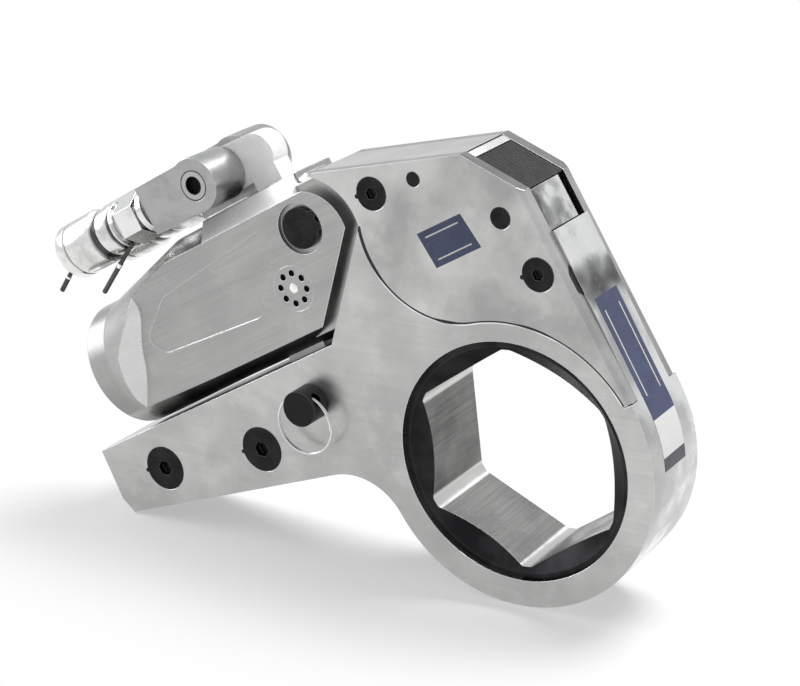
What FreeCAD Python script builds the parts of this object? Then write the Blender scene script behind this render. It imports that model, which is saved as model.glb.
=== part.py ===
import FreeCAD, Part
import math
import os
import Sketcher
from FreeCAD import Placement, Rotation, Vector

# Low-profile hydraulic torque wrench: a flat ratchet link that carries a large
# hexagon, a power head with cylinder and piston pinned into the link, and a
# twin-arm swivel with two quick couplings on top of the cylinder.
#
# Frame as the tool stands in the picture: X to the right, Y into the picture
# across the thickness, Z up. The origin is the middle of the hexagon.
# The power head has its own frame, turned about Y by head_tilt: its first
# coordinate u runs along the cylinder, its second coordinate v across it.

os.makedirs("parts", exist_ok=True)
doc = FreeCAD.newDocument("TorqueWrench")

# Driving dimensions, millimetres and degrees

DIMENSIONS = {
    # ratchet and link
    "hex_across": 80.0,
    "hex_turn": 4.8,
    "journal_radius": 49.45,
    "journal_gap": 0.05,
    "tooth_depth": 2.8,
    "tooth_root_radius": 50.8,
    "tooth_count": 48,
    "tooth_band": 18.0,
    "bore_gap": 0.4,
    "ring_wall": 6.6,
    "link_thickness": 38.4,
    "lip_thickness": 5.8,
    "ratchet_recess": 2.0,
    "ratchet_overhang": 5.6,
    "edge_chamfer": 1.0,
    # shroud plates
    "plate_thickness": 5.5,
    "plate_chamfer": 1.8,
    "plate_gap": 0.25,
    "plate_step": 3.0,
    "plate_bulge_radius": 39.4,
    "top_line_angle": 102.6,
    "top_line_distance": 122.4,
    "top_line_end": 6.9,
    "side_line_angle": 30.0,
    "side_corner": 92.0,
    "tip_height": 3.5,
    "wall_thickness": 4.2,
    "wall_foot_angle": 40.0,
    "wall_top": 73.8,
    "wall_proud": 1.2,
    "spacer_thickness": 6.0,
    # reaction tail
    "tail_top": 70.7,
    "tail_end_length": 206.0,
    "tail_toe_length": 190.3,
    "tail_heel_length": 196.0,
    "tail_heel_drop": 55.5,
    "under_slope": 20.0,
    "under_offset": 8.2,
    "under_fillet": 26.5,
    # power head
    "head_tilt": 29.3,
    "head_flat": 39.0,
    "body_radius": 32.4,
    "body_axis": 104.6,
    "body_taper_start": -113.0,
    "body_taper_end": -160.0,
    "cap_radius": 27.4,
    "cap_thickness": 11.8,
    "bore_axis": 98.9,
    "bore_radius": 15.0,
    "bore_end": -50.0,
    "rod_radius": 9.0,
    "rod_gap": 0.3,
    "nose_centre": -39.5,
    "nose_height": 113.0,
    "nose_radius": 23.6,
    "nose_chamfer": 4.6,
    "nose_gap": 1.4,
    "nose_wrap": 84.0,
    "bevel_gap": 0.8,
    "pad_front": -36.0,
    "pad_rear": -89.0,
    "pad_width": 24.4,
    "pad_top": 138.5,
    "bevel_angle": -45.8,
    "bevel_reach": 19.8,
    # joint between link and power head
    "pin_u": -75.5,
    "pin_v": 53.2,
    "pin_radius": 6.0,
    "pin_gap": 0.1,
    "lug_length": 20.0,
    "lug_width": 16.0,
    "lug_gap": 0.3,
    "hook_u": -40.9,
    "hook_v": 117.7,
    "hook_radius": 6.0,
    "hook_width": 12.0,
    "hook_wall": 3.2,
    "hook_along": 47.0,
    # drive lever
    "lever_reach": 100.0,
    "lever_angle": 125.0,
    "lever_head": 12.5,
    "lever_root": 16.0,
    "lever_root_reach": 45.0,
    "lever_thickness": 4.0,
    "lever_gap": 0.2,
    "lever_swing": 22.0,
    "drive_pin_radius": 7.0,
    "cavity_start": 44.0,
    "cavity_end": 141.0,
    "cavity_gap": 0.8,
    # screws, dowels and pins, each with its place on the link
    "screw_head_radius": 6.7,
    "screw_head_height": 3.0,
    "screw_radius": 4.0,
    "screw_gap": 0.15,
    "upper_screw_x": -59.5,
    "upper_screw_z": 101.0,
    "pawl_screw_x": 12.5,
    "pawl_screw_z": 78.5,
    "dowel_radius": 4.25,
    "dowel_x": -3.0,
    "dowel_z": 98.5,
    "cover_pin_radius": 2.9,
    "cover_pin_x": -40.5,
    "cover_pin_z": 109.0,
    "tail_screw_head": 9.75,
    "tail_screw_height": 4.0,
    "tail_screw_radius": 6.0,
    "tail_screw_depth": 30.0,
    "first_tail_screw_x": -170.4,
    "first_tail_screw_z": -35.5,
    "second_tail_screw_x": -118.5,
    "second_tail_screw_z": -16.8,
    # fixed stop block in the window
    "stop_face_angle": 18.0,
    "stop_gap": 0.6,
    "stop_sink": 1.6,
    "stop_back": 4.6,
    "stop_foot_gap": 0.3,
    # ratchet details
    "relief_radius": 2.2,
    "relief_depth": 1.0,
    "snap_ring_width": 3.0,
    "snap_ring_thickness": 2.0,
    "snap_groove_depth": 1.5,
    "snap_ring_gap": 16.0,
    "snap_ring_gap_y": 0.4,
    "bushing_thickness": 5.8,
    # pawls
    "pawl_lift": 2.0,
    "pawl_clear": 0.3,
    "pawl_half_angle": 10.0,
    "pawl_height": 10.0,
    "block_height": 11.0,
    "cheek_angle": 4.2,
    "reaction_boss": 6.8,
    "reaction_tip": 2.6,
    "reaction_angle": 62.0,
    # piston and rod
    "piston_rear": -157.5,
    "piston_length": 14.0,
    "piston_gap": 0.06,
    "eye_radius": 12.2,
    "eye_drop": 1.4,
    "eye_slot": 2.3,
    "eye_gap": 0.2,
    "gland_length": 12.0,
    "pin_head_radius": 8.5,
    "pin_head_height": 2.2,
    "pin_recess_radius": 10.5,
    "plug_u": -57.4,
    "plug_v": 97.6,
    "plug_radius": 9.5,
    "plug_depth": 1.5,
    "plug_hole_radius": 1.4,
    "plug_hole_reach": 6.3,
    "plug_hole_depth": 1.1,
    "shoulder_top_u": -140.0,
    "shoulder_top_v": 119.0,
    "shoulder_middle_u": -153.0,
    "shoulder_middle_v": 104.0,
    "shoulder_low_u": -158.8,
    "shoulder_low_v": 84.0,
    "spanner_hole_radius": 3.0,
    "spanner_hole_reach": 18.0,
    "spanner_hole_depth": 6.0,
    "panel_depth": 0.5,
    "panel_corner": 5.0,
    "panel_rear_u": -142.0,
    "panel_rear_v": 105.0,
    "panel_heel_u": -134.0,
    "panel_heel_v": 96.5,
    "panel_toe_u": -79.0,
    "panel_toe_v": 92.8,
    "panel_front_u": -56.5,
    "panel_front_v": 117.5,
    "panel_peak_u": -61.0,
    "panel_peak_v": 124.5,
    "panel_back_u": -122.0,
    "panel_back_v": 118.2,
    "pin_lug_angle": 20.0,
    "pin_lug_radius": 1.6,
    "knob_radius": 7.5,
    "knob_height": 9.0,
    "knob_gap": 1.0,
    "ring_hole_y": 4.0,
    "ring_hole_rise": 4.8,
    "wire_radius": 0.8,
    "wire_gap": 0.7,
    "split_ring_radius": 12.7,
    # swivel
    "post_u": -55.9,
    "post_length": 14.0,
    "post_width": 10.4,
    "post_top": 160.0,
    "spigot_radius": 5.0,
    "spigot_depth": 10.0,
    "swivel_u": -74.9,
    "swivel_v": 152.3,
    "tongue_radius": 10.0,
    "bolt_radius": 5.0,
    "bolt_head_radius": 6.4,
    "bolt_head_height": 2.0,
    "bolt_socket": 3.75,
    "arm_inner": 5.5,
    "arm_width": 20.0,
    "arm_end": -103.8,
    "front_boss": 11.2,
    "back_boss": 13.2,
    "coupler_neck": 6.5,
    "neck_length": 2.2,
    "coupler_flange": 9.8,
    "flange_length": 3.0,
    "relief_length": 1.5,
    "coupler_hex": 19.0,
    "coupler_hex_length": 11.0,
    "stub_radius": 8.0,
    "stub_length": 34.0,
    "coupler_bore": 5.5,
    "sleeve_radius": 10.6,
    "sleeve_length": 34.0,
    "sleeve_travel": 3.0,
    "sleeve_gap": 0.15,
    "grip_radius": 12.0,
    "grip_length": 9.0,
    "back_extra": 1.6,
    "screw_socket": 2.6,
    "tail_screw_socket": 3.6,
}

sheet = doc.addObject("Spreadsheet::Sheet", "Sizes")
for row, (alias, number) in enumerate(DIMENSIONS.items(), start=1):
    sheet.set("A%d" % row, alias.replace("_", " "))
    sheet.set("B%d" % row, str(number))
    sheet.setAlias("B%d" % row, alias)
doc.recompute()


# Sizes that remember the cell they come from

class Size:
    """A number together with the sheet expression that gives it."""

    def __init__(self, number, text):
        self.number = float(number)
        self.text = text

    def __add__(self, other):
        other = size(other)
        return Size(self.number + other.number, "(%s + %s)" % (self.text, other.text))

    def __sub__(self, other):
        other = size(other)
        return Size(self.number - other.number, "(%s - %s)" % (self.text, other.text))

    def __mul__(self, other):
        other = size(other)
        return Size(self.number * other.number, "(%s * %s)" % (self.text, other.text))

    def __truediv__(self, other):
        other = size(other)
        return Size(self.number / other.number, "(%s / %s)" % (self.text, other.text))

    def __neg__(self):
        return Size(-self.number, "(0 - %s)" % self.text)

    def __radd__(self, other):
        return size(other) + self

    def __rsub__(self, other):
        return size(other) - self

    def __rmul__(self, other):
        return size(other) * self

    def __rtruediv__(self, other):
        return size(other) / self


def size(value):
    """A Size from a cell's alias, from a plain number, or as it is."""
    if isinstance(value, Size):
        return value
    if isinstance(value, str):
        return Size(sheet.get(value), "Sizes." + value)
    return Size(value, repr(float(value)))


def root(value):
    value = size(value)
    return Size(math.sqrt(value.number), "sqrt(%s)" % value.text)


def sine(angle):
    angle = size(angle)
    return Size(math.sin(math.radians(angle.number)), "sin(%s)" % angle.text)


def cosine(angle):
    angle = size(angle)
    return Size(math.cos(math.radians(angle.number)), "cos(%s)" % angle.text)


def polar(radius, angle, centre=(0.0, 0.0)):
    """The point at a radius and an angle round a centre."""
    radius = size(radius)
    return (radius * cosine(angle) + centre[0], radius * sine(angle) + centre[1])


def on_line(distance, angle, along):
    """The point of a line given by its normal, at a length along it."""
    distance = size(distance)
    along = size(along)
    return (distance * cosine(angle) - along * sine(angle),
            distance * sine(angle) + along * cosine(angle))


def reach(point):
    return root(size(point[0]) * point[0] + size(point[1]) * point[1])


def circles_meet(first, r1, second, r2, side):
    """Where two circles cross, on the left (+1) or right (-1) of the way from first to second."""
    r1 = size(r1)
    r2 = size(r2)
    dx = size(second[0]) - first[0]
    dz = size(second[1]) - first[1]
    gap = root(dx * dx + dz * dz)
    along = (gap * gap + r1 * r1 - r2 * r2) / (2.0 * gap)
    across = root(r1 * r1 - along * along)
    return (first[0] + (dx * along - side * dz * across) / gap,
            first[1] + (dz * along + side * dx * across) / gap)


def circle_meets_line(centre, radius, distance, angle, side):
    """Where a circle crosses a line given by its normal; side +1 is further along it."""
    radius = size(radius)
    off = size(distance) - (centre[0] * cosine(angle) + centre[1] * sine(angle))
    along = centre[1] * cosine(angle) - centre[0] * sine(angle)
    half = root(radius * radius - off * off)
    return on_line(distance, angle, along + side * half)


def lines_meet(d1, a1, d2, a2):
    """Where two lines given by their normals cross."""
    d1 = size(d1)
    d2 = size(d2)
    turn = cosine(a1) * sine(a2) - sine(a1) * cosine(a2)
    return ((d1 * sine(a2) - d2 * sine(a1)) / turn,
            (d2 * cosine(a1) - d1 * cosine(a2)) / turn)


def between(first, second, share):
    x = size(first[0])
    z = size(first[1])
    return (x + (second[0] - x) * share, z + (second[1] - z) * share)


# Bodies, sketches and features

def new_body(label, tilted=False):
    body = doc.addObject("PartDesign::Body", label)
    body.Label = label
    if tilted:
        body.Placement = Placement(Vector(0, 0, 0), Rotation(Vector(0, -1, 0), sheet.get("head_tilt")))
        body.setExpression("Placement.Rotation.Angle", "Sizes.head_tilt")
    return body


def new_sketch(body, plane="XZ_Plane", at=0.0):
    """A sketch on one of the body's own planes; on XZ its place is a Y value."""
    at = size(at)
    if plane == "XZ_Plane":
        at = -at
    sketch = body.newObject("Sketcher::SketchObject", body.Label + "_outline")
    origin = [f for f in body.Origin.OriginFeatures if f.Role == plane][0]
    sketch.AttachmentSupport = [(origin, "")]
    sketch.MapMode = "FlatFace"
    sketch.AttachmentOffset = Placement(Vector(0, 0, at.number), Rotation())
    sketch.setExpression("AttachmentOffset.Base.z", at.text)
    return sketch


def bind(sketch, kind, *args):
    """A constraint whose value follows the sheet."""
    value = size(args[-1])
    index = sketch.addConstraint(Sketcher.Constraint(kind, *args[:-1], value.number))
    sketch.setExpression("Constraints[%d]" % index, value.text)


def pin_point(sketch, geometry, position, point):
    bind(sketch, "DistanceX", -1, 1, geometry, position, point[0])
    bind(sketch, "DistanceY", -1, 1, geometry, position, point[1])


def vector(point):
    return Vector(size(point[0]).number, size(point[1]).number, 0)


def draw_path(sketch, start, *steps):
    """A closed outline of lines (end point) and arcs (end point, centre, radius, way)."""
    first = sketch.GeometryCount
    here = start
    ends = []
    for step in steps:
        if len(step) == 2:
            index = sketch.addGeometry(Part.LineSegment(vector(here), vector(step)))
            ends.append((index, 1, 2))
            pin_point(sketch, index, 1, here)
            here = step
            continue
        end, centre, radius, way = step
        middle = vector(centre)
        a = vector(here) - middle
        b = vector(end) - middle
        begin = math.atan2(a.y, a.x)
        stop = math.atan2(b.y, b.x)
        circle = Part.Circle(middle, Vector(0, 0, 1), size(radius).number)
        if way > 0:
            index = sketch.addGeometry(Part.ArcOfCircle(circle, begin, stop))
            ends.append((index, 1, 2))
            pin_point(sketch, index, 1, here)
        else:
            index = sketch.addGeometry(Part.ArcOfCircle(circle, stop, begin))
            ends.append((index, 2, 1))
            pin_point(sketch, index, 2, here)
        chord = b - a
        if chord.Length < 1.96 * circle.Radius:
            bind(sketch, "Radius", index, radius)
        elif abs(chord.y) > abs(chord.x):
            bind(sketch, "DistanceX", -1, 1, index, 3, centre[0])
        else:
            bind(sketch, "DistanceY", -1, 1, index, 3, centre[1])
        here = end
    for this, following in zip(ends, ends[1:] + ends[:1]):
        sketch.addConstraint(Sketcher.Constraint("Coincident", this[0], this[2], following[0], following[1]))
    return first


def draw_circle(sketch, centre, radius):
    radius = size(radius)
    index = sketch.addGeometry(Part.Circle(vector(centre), Vector(0, 0, 1), radius.number))
    pin_point(sketch, index, 3, centre)
    bind(sketch, "Radius", index, radius)
    return index


def draw_box(sketch, x0, z0, x1, z1):
    draw_path(sketch, (x0, z0), (x1, z0), (x1, z1), (x0, z1), (x0, z0))


def feature(body, kind, sketch, length=None, backwards=False, middle=False):
    item = body.newObject("PartDesign::" + kind, body.Label + "_" + kind)
    item.Profile = sketch
    if length is not None:
        length = size(length)
        item.Length = length.number
        item.setExpression("Length", length.text)
    item.Reversed = backwards
    if middle:
        item.SideType = "Symmetric"
    sketch.Visibility = False
    return item


def pad(body, sketch, length, middle=False):
    """Material from the sketch's plane towards +Y (XZ sketches)."""
    return feature(body, "Pad", sketch, length, backwards=not middle, middle=middle)


def pocket(body, sketch, length, middle=False):
    """A cut from the sketch's plane towards +Y (XZ sketches)."""
    before = body.Tip
    item = feature(body, "Pocket", sketch, length, middle=middle)
    doc.recompute()
    if item.Shape.Volume > before.Shape.Volume - 1e-6:
        raise ValueError("%s: the pocket cuts nothing" % body.Label)
    return item


def edges_where(shape, test):
    """The names of the edges whose points all pass a test."""
    names = []
    for number, edge in enumerate(shape.Edges, start=1):
        if all(test(point) for point in edge.discretize(5)):
            names.append("Edge%d" % number)
    return names


def chamfer(body, test, width):
    doc.recompute()
    width = size(width)
    names = edges_where(body.Tip.Shape, test)
    if not names:
        raise ValueError("%s: no edge to chamfer" % body.Label)
    item = body.newObject("PartDesign::Chamfer", body.Label + "_chamfer")
    item.Base = (body.Tip if body.Tip is not item else item.BaseFeature, names)
    item.Size = width.number
    item.setExpression("Size", width.text)
    return item


def drill(body, label, place, radius, length, turn=None, y=None):
    """A round hole along the cylinder's direction, middle at a place of the XZ plane."""
    length = size(length)
    radius = size(radius)
    tool = body.newObject("PartDesign::SubtractiveCylinder", label)
    turn = 90.0 - size("head_tilt") if turn is None else size(turn)
    start = (place[0] - sine(turn) * length / 2.0, place[1] - cosine(turn) * length / 2.0)
    tool.Placement = Placement(Vector(start[0].number, 0, start[1].number),
                               Rotation(Vector(0, 1, 0), turn.number))
    tool.Radius = radius.number
    tool.Height = length.number
    tool.setExpression("Radius", radius.text)
    tool.setExpression("Height", length.text)
    tool.setExpression("Placement.Base.x", start[0].text)
    tool.setExpression("Placement.Base.z", start[1].text)
    tool.setExpression("Placement.Rotation.Angle", turn.text)
    doc.recompute()
    return tool


def tilt(u, v):
    """A point of the power head's frame, seen in the frame of the whole tool."""
    u = size(u)
    v = size(v)
    return (u * cosine("head_tilt") - v * sine("head_tilt"),
            u * sine("head_tilt") + v * cosine("head_tilt"))


# Places that several pieces share

CENTRE = (size(0.0), size(0.0))
HALF = size("link_thickness") / 2.0
FRONT = -HALF
INNER = HALF - "plate_thickness"
TOOTH_TIP = size("tooth_root_radius") + "tooth_depth"
BORE = TOOTH_TIP + "bore_gap"
SEAT = size("journal_radius") + "journal_gap"
RING = BORE + "ring_wall"
PLATE_RING = RING - "plate_step"
NOSE = tilt("nose_centre", "nose_height")
NOSE_CLEAR = size("nose_radius") + "nose_gap"
BULGE = circles_meet(CENTRE, PLATE_RING + "plate_bulge_radius",
                     NOSE, NOSE_CLEAR + "plate_bulge_radius", -1)
RING_TOUCH = between(CENTRE, BULGE, PLATE_RING / reach(BULGE))
NOSE_TOUCH = between(NOSE, BULGE, NOSE_CLEAR / (NOSE_CLEAR + "plate_bulge_radius"))
NOSE_TOP = polar(NOSE_CLEAR, "nose_wrap", NOSE)
TOP_LEFT = on_line("top_line_distance", "top_line_angle",
                   NOSE_TOP[1] * cosine("top_line_angle") - NOSE_TOP[0] * sine("top_line_angle"))
TOP_RIGHT = on_line("top_line_distance", "top_line_angle", -size("top_line_end"))
SIDE_CORNER = on_line(RING, "side_line_angle", "side_corner")
BEVEL_NORMAL = size("head_tilt") + "bevel_angle"
BEVEL_LINE = (NOSE[0] * cosine(BEVEL_NORMAL) + NOSE[1] * sine(BEVEL_NORMAL)
              + "bevel_reach" + "bevel_gap")
LEVER_PIN = polar("lever_reach", "lever_angle")
PAWL_SCREW = (size("pawl_screw_x"), size("pawl_screw_z"))
UPPER_SCREW = (size("upper_screw_x"), size("upper_screw_z"))
DOWEL = (size("dowel_x"), size("dowel_z"))
COVER_PIN = (size("cover_pin_x"), size("cover_pin_z"))
TAIL_SCREWS = ((size("first_tail_screw_x"), size("first_tail_screw_z")),
               (size("second_tail_screw_x"), size("second_tail_screw_z")))
QUICK_PIN = tilt("pin_u", "pin_v")
HOOK_PIN = tilt("hook_u", "hook_v")


def hull_path(sketch, first, r1, second, r2):
    """Two circles joined by their common tangents."""
    r1 = size(r1)
    r2 = size(r2)
    dx = (size(second[0]) - first[0])
    dz = (size(second[1]) - first[1])
    length = root(dx * dx + dz * dz)
    lean = (r1 - r2) / length
    level = root(1.0 - lean * lean)
    ways = []
    for side in (1.0, -1.0):
        ways.append(((dx * lean - side * dz * level) / length,
                     (dz * lean + side * dx * level) / length))
    left, right = ways
    corner = [(place[0] + radius * way[0], place[1] + radius * way[1])
              for place, radius, way in ((first, r1, right), (second, r2, right),
                                         (second, r2, left), (first, r1, left))]
    draw_path(sketch, corner[0], corner[1], (corner[2], second, r2, 1), corner[3],
              (corner[0], first, r1, 1))


def rounded_path(sketch, radius, *points):
    """A closed polygon, drawn counterclockwise, with every corner rounded."""
    steps = []
    radius = size(radius)
    for before, corner, after in zip(points[-1:] + points[:-1], points, points[1:] + points[:1]):
        way_in = (size(before[0]) - corner[0], size(before[1]) - corner[1])
        way_out = (size(after[0]) - corner[0], size(after[1]) - corner[1])
        near = reach(way_in)
        far = reach(way_out)
        cosine_between = (way_in[0] * way_out[0] + way_in[1] * way_out[1]) / (near * far)
        back = radius * root((1.0 + cosine_between) / (1.0 - cosine_between))
        enter = between(corner, before, back / near)
        leave = between(corner, after, back / far)
        half = between(enter, leave, 0.5)
        share = 2.0 / (1.0 + cosine_between)
        centre = between((size(corner[0]), size(corner[1])), half, share)
        steps.append(enter)
        steps.append((leave, centre, radius, 1))
    draw_path(sketch, steps[-1][0], *steps)


def lever_path(sketch, angle, grow):
    """The outline of a lever arm: a round head on a wider heel."""
    hull_path(sketch, polar("lever_root_reach", angle), size("lever_root") + grow,
              polar("lever_reach", angle), size("lever_head") + grow)


# Link housing: ring, right-hand wall and reaction tail in one forging. The
# plates lie in steps on both faces; between them the middle is hollow.

def make_housing():
    body = new_body("link_housing")
    ring = RING
    step = PLATE_RING - "plate_gap"
    bulge = size("plate_bulge_radius") + "plate_gap"
    outer = ring + "wall_proud"
    inner = outer - "wall_thickness"
    under_along = root((ring + "under_fillet") * (ring + "under_fillet")
                       - (size("under_offset") - "under_fillet") * (size("under_offset") - "under_fillet"))
    under_angle = size("under_slope") + 90.0
    fillet = on_line(size("under_offset") - "under_fillet", under_angle, under_along)
    fillet_line = on_line("under_offset", under_angle, under_along)
    fillet_ring = between(CENTRE, fillet, ring / (ring + "under_fillet"))
    end_x = -size("tail_end_length")
    tail_end = (end_x, (size("tail_top") + end_x * sine("head_tilt")) / cosine("head_tilt"))
    toe_x = -size("tail_toe_length")
    toe = (toe_x, (size("under_offset") + toe_x * sine("under_slope")) / cosine("under_slope"))
    heel = (-size("tail_heel_length"), -size("tail_heel_drop"))
    notch = lines_meet(BEVEL_LINE, BEVEL_NORMAL, "tail_top", size("head_tilt") + 90.0)
    horn = circle_meets_line(BULGE, bulge, BEVEL_LINE, BEVEL_NORMAL, -1)
    bulge_touch = between(CENTRE, BULGE, step / reach(BULGE))
    wall_foot = polar(step, "wall_foot_angle")

    outline = new_sketch(body, at=FRONT)
    draw_path(outline, fillet_ring,
              (on_line(ring, "side_line_angle", 0.0), CENTRE, ring, 1),
              on_line(outer, "side_line_angle", "wall_top"),
              on_line(inner, "side_line_angle", "wall_top"),
              wall_foot,
              (bulge_touch, CENTRE, step, 1),
              (horn, BULGE, bulge, -1),
              notch,
              tail_end,
              heel,
              toe,
              fillet_line,
              (fillet_ring, fillet, "under_fillet", -1))
    pad(body, outline, "link_thickness")

    # steps on both faces of the right-hand wall, which carry the plates
    for place in (FRONT, INNER):
        recess = new_sketch(body, at=place)
        tip = size("tip_height") - "plate_gap"
        start = on_line(root(step * step - tip * tip), "side_line_angle", tip)
        out = ring + 6.0
        back = inner - 2.0
        draw_path(recess, start,
                  on_line(out, "side_line_angle", tip),
                  on_line(out, "side_line_angle", size("wall_top") + 3.0),
                  on_line(back, "side_line_angle", size("wall_top") + 3.0),
                  polar(step, size("wall_foot_angle") + 12.0),
                  (start, CENTRE, step, -1))
        pocket(body, recess, "plate_thickness")

    # bore: a lip in front that holds the ratchet, and the wide tooth space
    lip = new_sketch(body, at=FRONT)
    draw_circle(lip, CENTRE, SEAT)
    pocket(body, lip, "link_thickness")
    bore = new_sketch(body, at=FRONT + "lip_thickness")
    draw_circle(bore, CENTRE, BORE)
    pocket(body, bore, "link_thickness")

    # hollow between the plates, where lever and pawls move
    middle = INNER * 2.0
    cavity = new_sketch(body)
    far = PLATE_RING + 1.0
    near = BORE - 2.0
    draw_path(cavity, polar(near, "cavity_start"), polar(far, "cavity_start"),
              (polar(far, "cavity_end"), CENTRE, far, 1), polar(near, "cavity_end"),
              (polar(near, "cavity_start"), CENTRE, near, -1))
    pocket(body, cavity, middle, middle=True)
    sweep = new_sketch(body)
    lever_path(sweep, "lever_angle", "cavity_gap")
    pocket(body, sweep, middle, middle=True)

    # tunnel for the piston rod through the horn
    drill(body, "rod_tunnel", tilt("nose_centre", "bore_axis"), size("rod_radius") + "cavity_gap", 40.0)

    # slot and hole for the power head's lug and its pin
    slot = new_sketch(body)
    wide = size("lug_length") / 2.0 + "lug_gap"
    deep = size("pin_v") - size("lug_length") / 2.0 - "lug_gap"
    high = size("tail_top") + 2.0
    draw_path(slot, tilt(size("pin_u") - wide, deep), tilt(size("pin_u") + wide, deep),
              tilt(size("pin_u") + wide, high), tilt(size("pin_u") - wide, high),
              tilt(size("pin_u") - wide, deep))
    pocket(body, slot, size("lug_width") + size("lug_gap") * 2.0, middle=True)
    hole = new_sketch(body, at=FRONT)
    draw_circle(hole, QUICK_PIN, size("pin_radius") + "pin_gap")
    pocket(body, hole, "link_thickness")

    # counterbored holes of the two tail screws
    head = new_sketch(body, at=FRONT)
    shank = new_sketch(body, at=FRONT)
    for place in TAIL_SCREWS:
        draw_circle(head, place, size("tail_screw_head") + "screw_gap")
        draw_circle(shank, place, size("tail_screw_radius") + "screw_gap")
    pocket(body, head, "tail_screw_height")
    pocket(body, shank, "tail_screw_depth")
    half = HALF.number - 0.01
    limit = RING.number - 0.05
    foot = -30.0
    chamfer(body, lambda p: abs(p.y) > half and math.hypot(p.x, p.z) > limit and p.z < foot, "edge_chamfer")
    return body


# Shroud plates: two flat covers of one outline, one on each face of the link.

def plate_path(sketch):
    edge = RING
    tip = size("tip_height")
    inner = PLATE_RING
    tip_inner = on_line(root(inner * inner - tip * tip), "side_line_angle", tip)
    draw_path(sketch, tip_inner,
              on_line(edge, "side_line_angle", tip),
              SIDE_CORNER,
              TOP_RIGHT,
              TOP_LEFT,
              NOSE_TOP,
              (NOSE_TOUCH, NOSE, NOSE_CLEAR, -1),
              (RING_TOUCH, BULGE, "plate_bulge_radius", 1),
              (tip_inner, CENTRE, inner, -1))


def make_plate(label, at, head_at):
    body = new_body(label)
    outline = new_sketch(body, at=at)
    plate_path(outline)
    pad(body, outline, "plate_thickness")
    holes = new_sketch(body, at=at)
    for place, radius in ((UPPER_SCREW, "screw_radius"), (PAWL_SCREW, "screw_radius"),
                          (DOWEL, "dowel_radius"), (COVER_PIN, "cover_pin_radius")):
        draw_circle(holes, place, size(radius) + "screw_gap")
    pocket(body, holes, "plate_thickness")
    heads = new_sketch(body, at=head_at)
    for place in (UPPER_SCREW, PAWL_SCREW):
        draw_circle(heads, place, size("screw_head_radius") + "screw_gap")
    pocket(body, heads, "screw_head_height")
    limit = RING.number - 0.05
    turn = math.radians(sheet.get("side_line_angle"))
    face = HALF.number - 0.01
    chamfer(body, lambda p: (abs(p.y) > face
                             and p.x * math.cos(turn) + p.z * math.sin(turn) > limit), "plate_chamfer")
    return body


# Spacer bar along the top edge, between the plates. A tongue on it hooks
# round the pin in the power head's nose.

def make_spacer():
    body = new_body("top_spacer")
    inner = size("top_line_distance") - "spacer_thickness"
    turn = "top_line_angle"
    outline = new_sketch(body)
    start = circle_meets_line(NOSE, NOSE_CLEAR, inner, turn, -1)
    draw_path(outline, start,
              on_line(inner, turn, -size("top_line_end") + "spacer_thickness"),
              TOP_RIGHT,
              TOP_LEFT,
              NOSE_TOP,
              (start, NOSE, NOSE_CLEAR, -1))
    pad(body, outline, INNER * 2.0, middle=True)
    tongue = new_sketch(body)
    hull_path(tongue, HOOK_PIN, size("hook_radius") + "hook_wall", hook_root(), "spacer_thickness")
    pad(body, tongue, "hook_width", middle=True)
    holes = new_sketch(body)
    draw_circle(holes, HOOK_PIN, size("hook_radius") + "pin_gap")
    draw_circle(holes, COVER_PIN, size("cover_pin_radius") + "screw_gap")
    pocket(body, holes, INNER * 2.0, middle=True)
    return body


def hook_root():
    """Where the tongue grows out of the spacer bar."""
    return on_line(size("top_line_distance") - size("spacer_thickness"), "top_line_angle", "hook_along")


# Stop block in the window: a black steel block doweled between the plates.
# Its left face ends the lever's swing.

def make_stop_block():
    body = new_body("stop_block")
    outline = new_sketch(body, at=-INNER)
    far = size("lever_angle") - "lever_swing"
    pin = polar("lever_reach", far)
    face = (pin[0] * cosine("stop_face_angle") + pin[1] * sine("stop_face_angle")
            + "lever_head" + "stop_gap")
    side = RING - "stop_sink"
    dx = SIDE_CORNER[0] - TOP_RIGHT[0]
    dz = SIDE_CORNER[1] - TOP_RIGHT[1]
    length = root(dx * dx + dz * dz)
    lid = (TOP_RIGHT[1] * dx - TOP_RIGHT[0] * dz) / length - "stop_sink"
    lid_turn = Size(math.degrees(math.atan2(dx.number, -dz.number)),
                    "atan2(%s; %s)" % (dx.text, (-dz).text))
    foot = size("wall_top") + "stop_foot_gap"
    foot_turn = size("side_line_angle") + 90.0
    draw_path(outline, on_line(side, "side_line_angle", foot),
              lines_meet(side, "side_line_angle", lid, lid_turn),
              lines_meet(face, "stop_face_angle", lid, lid_turn),
              lines_meet(face, "stop_face_angle", foot, foot_turn),
              on_line(side, "side_line_angle", foot))
    pad(body, outline, INNER * 2.0 - "stop_back")
    hole = new_sketch(body, at=-INNER)
    draw_circle(hole, DOWEL, size("dowel_radius") + "screw_gap")
    pocket(body, hole, INNER * 2.0)
    return body


# Ratchet: one turned and toothed wheel with the hexagon through it.

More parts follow.
